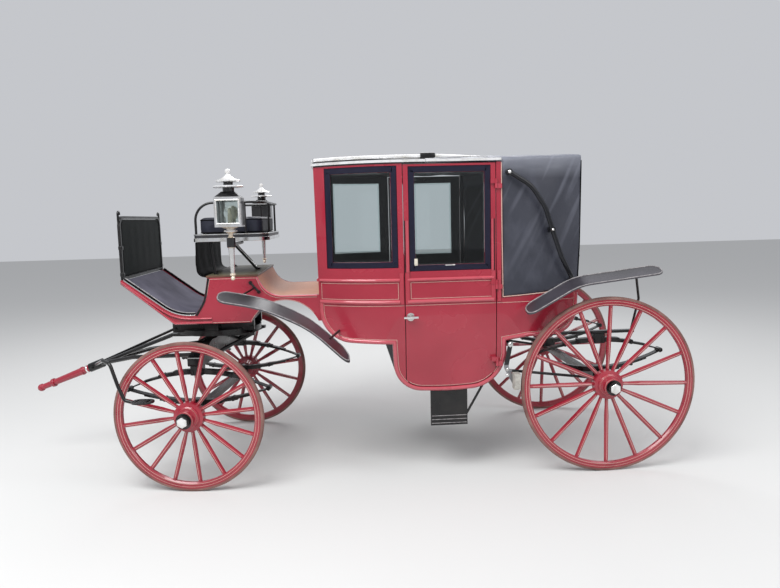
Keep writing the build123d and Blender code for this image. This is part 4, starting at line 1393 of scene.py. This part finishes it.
class COACH_OT_driver_seat(bpy.types.Operator):
    """Adds the driver's cushion, the board's bright bands and the leather apron"""

    bl_idname = "coach.driver_seat"
    bl_label = "Driver's seat"

    def execute(self, context):
        cushion = node_copy("driver_cushion", 0.007)
        swollen(cushion, shrink=0.006, cap=0.011)
        middle_x, half_x, half_y = 0.1865, 0.2155, 0.417
        low, high = 1.6254, 1.741
        buttons = [(x, y) for x in (0.115, 0.258) for y in (-0.276, -0.092, 0.092, 0.276)]
        for vertex in cushion.data.vertices:
            x, y, z = vertex.co
            # It lies flat on the board and its sides draw in between top and bottom
            x = middle_x + max(-half_x, min(half_x, x - middle_x))
            y = max(-half_y, min(half_y, y))
            if z > 1.69:
                z -= 0.011 * max(max(0.0, 1 - hypot(x - a, y - b) / 0.055) ** 2 for a, b in buttons)
            vertex.co = (x, y, max(low, min(high, z)))
        smooth(cushion, 60)
        # The welts are sewn to the leather, wherever it lies
        outline = [(-0.02, -0.408, 0.03), (0.393, -0.408, 0.095), (0.393, 0.408, 0.095), (-0.02, 0.408, 0.03)]
        welts = []
        for z in (1.634, 1.716):
            sewn = []
            for p in curve(outline, closed=True):
                spot = cushion.closest_point_on_mesh(Vector((p.x, p.y, z)))[1]
                sewn.append((spot.x, spot.y, z))
            welts.append(rod(sewn, 0.0035, 8, closed=True))
        keep("driver_cushion_leather", [cushion], "cushion", leather("navy_cushion_leather"))
        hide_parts("driver_cushion")
        keep("cushion_welts", welts, "cushion", leather())
        outline = [(-0.052, -0.44, 0.03), (0.425, -0.44, 0.12), (0.425, 0.44, 0.12), (-0.052, 0.44, 0.03)]
        path = curve(outline, closed=True)

        def round_board(u, v, h):
            return Vector((u, v, 1.5752 + h))

        bands = [
            moulding(path, eased(0.0, proud, low, high), round_board, closed=True, sink=0)
            for low, high, proud in ((0.0, 0.024, 0.005), (0.0435, 0.0495, 0.004))
        ]
        keep("seat_board_bands", bands, "silver", silver())
        apron = node_copy("seat_apron", 0.005)
        for vertex in apron.data.vertices:
            x, y, z = vertex.co
            fold = sin(y * 31 + sin(z * 9) * 1.5)
            vertex.co.x += 0.004 * fold * min(1, max(0, (1.575 - z) * 6)) * min(1, max(0, (z - 1.345) * 8))
        smooth(apron, 60)
        keep("apron_leather", [apron], "leather", leather())
        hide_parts("seat_apron")
        rows = [(0.014, 0), (0.014, 0.004), (0.009, 0.0045), (0.009, 0.012), (0.0005, 0.0125)]
        nuts = [
            moved(turned_form(rows, 6, 20), (x, y, z), Matrix.Rotation(turn, 4, "X"))
            for x, y, z, turn in (
                (0.075, -0.38, 1.357, 0),
                (0.305, -0.012, 1.357, 0),
                (0.055, -0.38, 1.574, pi),
            )
        ]
        fit("seat_iron_nuts", nuts, "black_iron", iron_paint())
        # Painted highlight: a silver strip along the brace's upper edge, on both sides
        highlight_strip = rod([(0.11, -0.006, 1.5868), (0.289, -0.006, 1.3762)], 0.0065, 8)
        fit("brace_highlight", [highlight_strip], "silver", silver("post_silver"))
        return {"FINISHED"}


class COACH_OT_cabin(bpy.types.Operator):
    """Adds the buttoned seats seen through the glass"""

    bl_idname = "coach.cabin"
    bl_label = "Cabin trim"

    def execute(self, context):
        seats = node_copy("cabin_cushions", 0.012)
        swollen(seats, shrink=0.008, cap=0.014)
        normals = [vertex.normal.copy() for vertex in seats.data.vertices]
        for vertex, normal in zip(seats.data.vertices, normals):
            x, y, z = vertex.co
            if x > 2.3 and normal.x < -0.3:
                row = (z - 1.2) / 0.12
                column = y / 0.12 + 0.5 * (int(row) % 2)
                button = cos(2 * pi * row) * 0.5 + cos(2 * pi * column) * 0.5
                vertex.co.x += 0.01 * max(0.0, button - 0.2)
            # Between the cabin's walls and above the benches
            x, y, z = vertex.co
            reach = side_y(min(max(x, FRONT_X), REAR_X), z) - 0.033
            vertex.co.y = max(-reach, min(reach, y))
            vertex.co.x = max(FRONT_X + 0.04, min(REAR_X - 0.04, x))
            vertex.co.z = max(1.1505 if x > 1.5 else 1.1205, z)
        smooth(seats, 60)
        keep("cabin_seats", [seats], "cabin_trim", leather("dark_cabin_leather"))
        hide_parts("cabin_cushions")
        return {"FINISHED"}


class COACH_OT_wheels(bpy.types.Operator):
    """Adds the black caps and the silver nuts of the hubs"""

    bl_idname = "coach.wheels"
    bl_label = "Hub caps"

    def execute(self, context):
        cap_rows = [(0.0405, 0.0), (0.0405, 0.0235), (0.039, 0.0275), (0.0365, 0.0284), (0.03, 0.0284)]
        nut_rows = [(0.0352, 0.0), (0.0352, 0.0115), (0.031, 0.0147), (0.018, 0.0152), (0.0005, 0.0158)]
        for end, x, radius, turned in (
            ("front", 0.0, FRONT_RADIUS, True),
            ("rear", REAR_AXLE_X, REAR_RADIUS, False),
        ):
            for side, sign in (("left", -1), ("right", 1)):
                body = f"{side}_{end}"
                place, turn = (x, sign * (WHEEL_Y + 0.0822), radius), Matrix.Rotation(-sign * pi / 2, 4, "X")
                cap = moved(turned_form(cap_rows, 40), place, turn)
                nut = moved(turned_form(nut_rows, 6, 20), (0, 0, 0.028))
                keep(body + "_hub_cap", [cap], "black_iron", iron_paint(), body, turned)
                keep(body + "_hub_nut", [moved(nut, place, turn)], "silver", silver(), body, turned)
        return {"FINISHED"}


GUARDS = {
    # name: fall across the width, rows of x, z, bend radius along the underside of the inner edge
    "front": (0.052, [(0.135, 1.268, 0), (0.4, 1.218, 0.9), (0.69, 1.082, 0.7), (0.94, 0.84, 0)]),
    "rear": (0.042, [(2.071, 1.1, 0), (2.4, 1.282, 0.35), (2.952, 1.345, 0)]),
}
GUARD_THICKNESS = 0.008


class COACH_OT_guards(bpy.types.Operator):
    """Binds the edges of the mudguards"""

    bl_idname = "coach.guards"
    bl_label = "Mudguard edges"

    def execute(self, context):
        for name, (fall, rows) in GUARDS.items():
            path = rounded(rows)

            def top(x):
                for a, b in zip(path, path[1:]):
                    if x <= b.x or b is path[-1]:
                        slope = (b.y - a.y) / (b.x - a.x)
                        return a.y + slope * (x - a.x) + GUARD_THICKNESS * sqrt(1 + slope * slope)

            inset = 0.004
            first, last = rows[0][0] + inset, rows[-1][0] - inset
            inner, outer = -GUARD_INNER_Y - inset, -GUARD_INNER_Y - GUARD_WIDTH + inset
            plan = [(first, outer, 0.056), (last, outer, 0.056), (last, inner, 0.056), (first, inner, 0.056)]
            points = [
                (p.x, p.y, top(p.x) - fall * (-GUARD_INNER_Y - p.y) / GUARD_WIDTH)
                for p in curve(plan, closed=True)
            ]
            edge = rod(points, 0.0042, 8, closed=True)
            fit(name + "_guard_edges", [edge], "black_iron", guard_edge())
        return {"FINISHED"}


def hex_nut(width, place, along_y=0):
    """Nut on its washer with the bolt's end, pointing up or, with 1 or -1, along y or against it."""
    shares = (
        (0.75, 0), (0.75, 0.1), (0.58, 0.11), (0.58, 0.5),
        (0.5, 0.56), (0.26, 0.57), (0.26, 0.8), (0, 0.82),
    )
    rows = [(max(0.0005, width * radius), width * height) for radius, height in shares]
    return moved(turned_form(rows, 6, 25), place, Matrix.Rotation(-along_y * pi / 2, 4, "X"))


def spring_fittings(x, y, half_span, eye_z, top_z, low_z):
    """Clips round the leaves and nuts at the eyes of one elliptic spring."""
    parts = []
    for side, tip_z in ((1, top_z), (-1, low_z)):
        rise = abs(tip_z - eye_z) - 0.032
        bend = (half_span**2 + rise**2) / (2 * rise)
        middle = bend + 0.012
        for along in (-0.23, 0.23):
            clip = box((-0.007, -0.0255, -0.0155), (0.007, 0.0255, 0.0155), 0.002)
            height = eye_z + side * (rise - bend + sqrt(middle**2 - along**2))
            parts.append(moved(clip, (x + along, y, height), Matrix.Rotation(side * along / middle, 4, "Y")))
    for along in (-half_span, half_span):
        for side in (-1, 1):
            parts.append(hex_nut(0.022, (x + along, y + side * 0.026, eye_z), side))
    for along in (-0.024, 0.024):
        for across in (-0.0315, 0.0315):
            for z in (top_z - 0.02, low_z + 0.02):
                bolt = box((-0.006, -0.004, -0.018), (0.006, 0.004, 0.018), 0.002, 1)
                parts.append(moved(bolt, (x + along, y + across, z)))
    return parts


class COACH_OT_fittings(bpy.types.Operator):
    """Adds the spring clips, nuts, pole bands and tread ribs of the running gear"""

    bl_idname = "coach.fittings"
    bl_label = "Fittings of the running gear"

    def execute(self, context):
        iron, fore = iron_paint(), ("fore_carriage", True)
        front = spring_fittings(0.0, -0.5, 0.47, 0.615, 0.745, 0.508)
        fit("front_spring_fittings", front, "black_iron", iron, *fore)
        rear = spring_fittings(REAR_AXLE_X, -0.52, 0.43, 0.76, 0.862, 0.628)
        fit("rear_spring_fittings", rear, "black_iron", iron)
        # Bands of the pole, drawn along its own axis
        pole = Matrix.Translation((-1.0, 0, 0.648)) @ Matrix.Rotation(-pi / 2 - radians(20.8), 4, "Y")
        band = ((0.0298, 0.016, 0.028),)
        collars = ((0.0315, 0.055, 0.07), (0.0315, 0.3, 0.322), (0.0275, 0.404, 0.426))
        for name, rows, slot, material in (
            ("pole_band", band, "silver", silver()),
            ("pole_collars", collars, "pole_paint", coach_paint("pole_red")),
        ):
            bands = []
            for r, a, b in rows:
                section = [
                    (0.02, a), (r - 0.001, a), (r, a + 0.002), (r, b - 0.002), (r - 0.001, b), (0.02, b),
                ]
                bands.append(placed(turned_form(section, 32, 30), pole))
            keep(name, bands, slot, material, *fore)
        nuts = [
            placed(hex_nut(0.02, (0, sign * 0.0325, along), sign), pole)
            for along in (-0.03, -0.082)
            for sign in (-1, 1)
        ]
        keep("jaw_nuts", nuts, "black_iron", iron, *fore)
        ribs = [
            box((x - 0.0035, -0.805 - half, 0.6155), (x + 0.0035, -0.805 + half, 0.6185), 0.001, 1)
            for x, half in ((-0.305, 0.024), (-0.266, 0.04), (-0.248, 0.04), (-0.23, 0.04), (-0.191, 0.024))
        ]
        fit("step_pad_ribs", ribs, "black_iron", iron, *fore)
        bar = rod([(0.306, -0.485, 1.302), (0.358, -0.485, 1.24)], 0.0075, 12)
        arm = rod([(0.332, -0.485, 1.271), (0.315, -0.53, 1.259), (0.277, -0.668, 1.2425)], 0.0065, 12)
        nuts = [hex_nut(0.018, (x, -0.4815, z), -1) for x, z in ((0.306, 1.302), (0.358, 1.24))]
        fit("box_brackets", [bar, arm, *nuts], "black_iron", iron)
        nuts = [
            hex_nut(width, (x, -0.6777, z), -1)
            for width, x, z in ((0.018, 1.962, 0.662), (0.018, 1.962, 0.7), (0.026, 1.9835, 0.866))
        ]
        fit("brake_nuts", nuts, "silver", silver("dull_silver"))
        # Nuts of the fifth wheel's upper irons
        nuts = [hex_nut(0.02, (x, y, 0.966)) for x in (-0.262, 0.262) for y in (-0.228, 0.228)]
        keep("ring_nuts", nuts, "black_iron", iron)
        # Rubbed tread on the passenger's steps
        treads = [
            box((1.47, -0.6025, z - 0.002), (1.706, -0.5995, z + 0.002), 0.0008, 1)
            for z in (0.335, 0.36, 0.385)
        ]
        fit("step_treads", treads, "black_iron", guard_edge())
        return {"FINISHED"}


class COACH_OT_stage(bpy.types.Operator):
    """Adds the floor, the lights and the camera of the photograph"""

    bl_idname = "coach.stage"
    bl_label = "Stage"

    def execute(self, context):
        deselect()
        bpy.ops.mesh.primitive_plane_add(size=60, location=(0, 0, -0.0005))
        floor = added("floor")
        s = Shader("floor_pale")
        pale = s.node("ShaderNodeBsdfDiffuse", inputs={"Color": (0.66, 0.66, 0.65, 1)})
        s.node("ShaderNodeOutputMaterial", inputs={"Surface": pale})
        floor.data.materials.append(s.material)
        world = bpy.data.worlds.new("studio")
        context.scene.world = world
        world.use_nodes = True
        tree = world.node_tree
        tree.nodes.clear()
        background = tree.nodes.new("ShaderNodeBackground")
        background.inputs["Color"].default_value = (0.93, 0.95, 1.0, 1)
        background.inputs["Strength"].default_value = 0.6
        output = tree.nodes.new("ShaderNodeOutputWorld")
        tree.links.new(background.outputs[0], output.inputs["Surface"])
        for place, aim, size, watts in (
            ((-2.5, -4.0, 6.5), (0, 0, 1.0), 4.5, 520),
            ((4.5, -4.0, 4.5), (0.5, 0, 1.0), 3.5, 120),
            ((0.5, 5.0, 5.5), (0, 0, 1.0), 4.0, 160),
        ):
            data = bpy.data.lights.new("softbox", "AREA")
            data.shape = "SQUARE"
            data.size = size
            data.energy = watts
            lamp = linked(data)
            lamp.location = place
            lamp.rotation_euler = (Vector(aim) - Vector(place)).to_track_quat("-Z", "Y").to_euler()
        data = bpy.data.cameras.new("camera")
        data.sensor_width = 36
        data.lens = FOCAL_LENGTH / PHOTO_WIDTH * data.sensor_width
        data.shift_x = 4 / PHOTO_WIDTH
        data.shift_y = 1 / PHOTO_WIDTH
        data.clip_start = 0.05
        camera = linked(data)
        level = Vector((sin(CAMERA_YAW), cos(CAMERA_YAW), 0))
        across = Vector((cos(CAMERA_YAW), -sin(CAMERA_YAW), 0))
        down = Vector((0, 0, -1))
        ahead = level * cos(CAMERA_PITCH) + down * sin(CAMERA_PITCH)
        below = down * cos(CAMERA_PITCH) - level * sin(CAMERA_PITCH)
        right = across * cos(CAMERA_ROLL) + below * sin(CAMERA_ROLL)
        lower = -across * sin(CAMERA_ROLL) + below * cos(CAMERA_ROLL)
        turn = Matrix((right, -lower, -ahead)).transposed()
        camera.matrix_world = Matrix.Translation(CAMERA_PLACE) @ turn.to_4x4()
        context.scene.camera = camera
        context.scene.view_settings.view_transform = "Standard"
        return {"FINISHED"}


OPERATORS = (
    COACH_OT_stage,
    COACH_OT_paint,
    COACH_OT_body_trim,
    COACH_OT_windows,
    COACH_OT_roof_edge,
    COACH_OT_hood,
    COACH_OT_lamp_parts,
    COACH_OT_driver_box,
    COACH_OT_dashboard,
    COACH_OT_driver_seat,
    COACH_OT_cabin,
    COACH_OT_wheels,
    COACH_OT_guards,
    COACH_OT_fittings,
)


class COACH_PT_panel(bpy.types.Panel):
    """Lists the coach's pieces in the sidebar"""

    bl_idname = "COACH_PT_panel"
    bl_label = "Coach"
    bl_space_type = "VIEW_3D"
    bl_region_type = "UI"
    bl_category = "Coach"

    def draw(self, context):
        for group in (context.scene.coach_colours, context.scene.coach_sizes):
            for key in group.bl_rna.properties.keys():
                if key not in ("rna_type", "name"):
                    self.layout.prop(group, key)
        for operator in OPERATORS:
            self.layout.operator(operator.bl_idname)


CLASSES = (CoachColours, CoachSizes, *OPERATORS, COACH_PT_panel)


def register():
    for kind in CLASSES:
        bpy.utils.register_class(kind)
    bpy.types.Scene.coach_colours = bpy.props.PointerProperty(type=CoachColours)
    bpy.types.Scene.coach_sizes = bpy.props.PointerProperty(type=CoachSizes)


def unregister():
    del bpy.types.Scene.coach_sizes
    del bpy.types.Scene.coach_colours
    for kind in reversed(CLASSES):
        bpy.utils.unregister_class(kind)


def main():
    register()
    for operator in OPERATORS:
        group, name = operator.bl_idname.split(".")
        getattr(getattr(bpy.ops, group), name)()


if __name__ == "__main__":
    main()
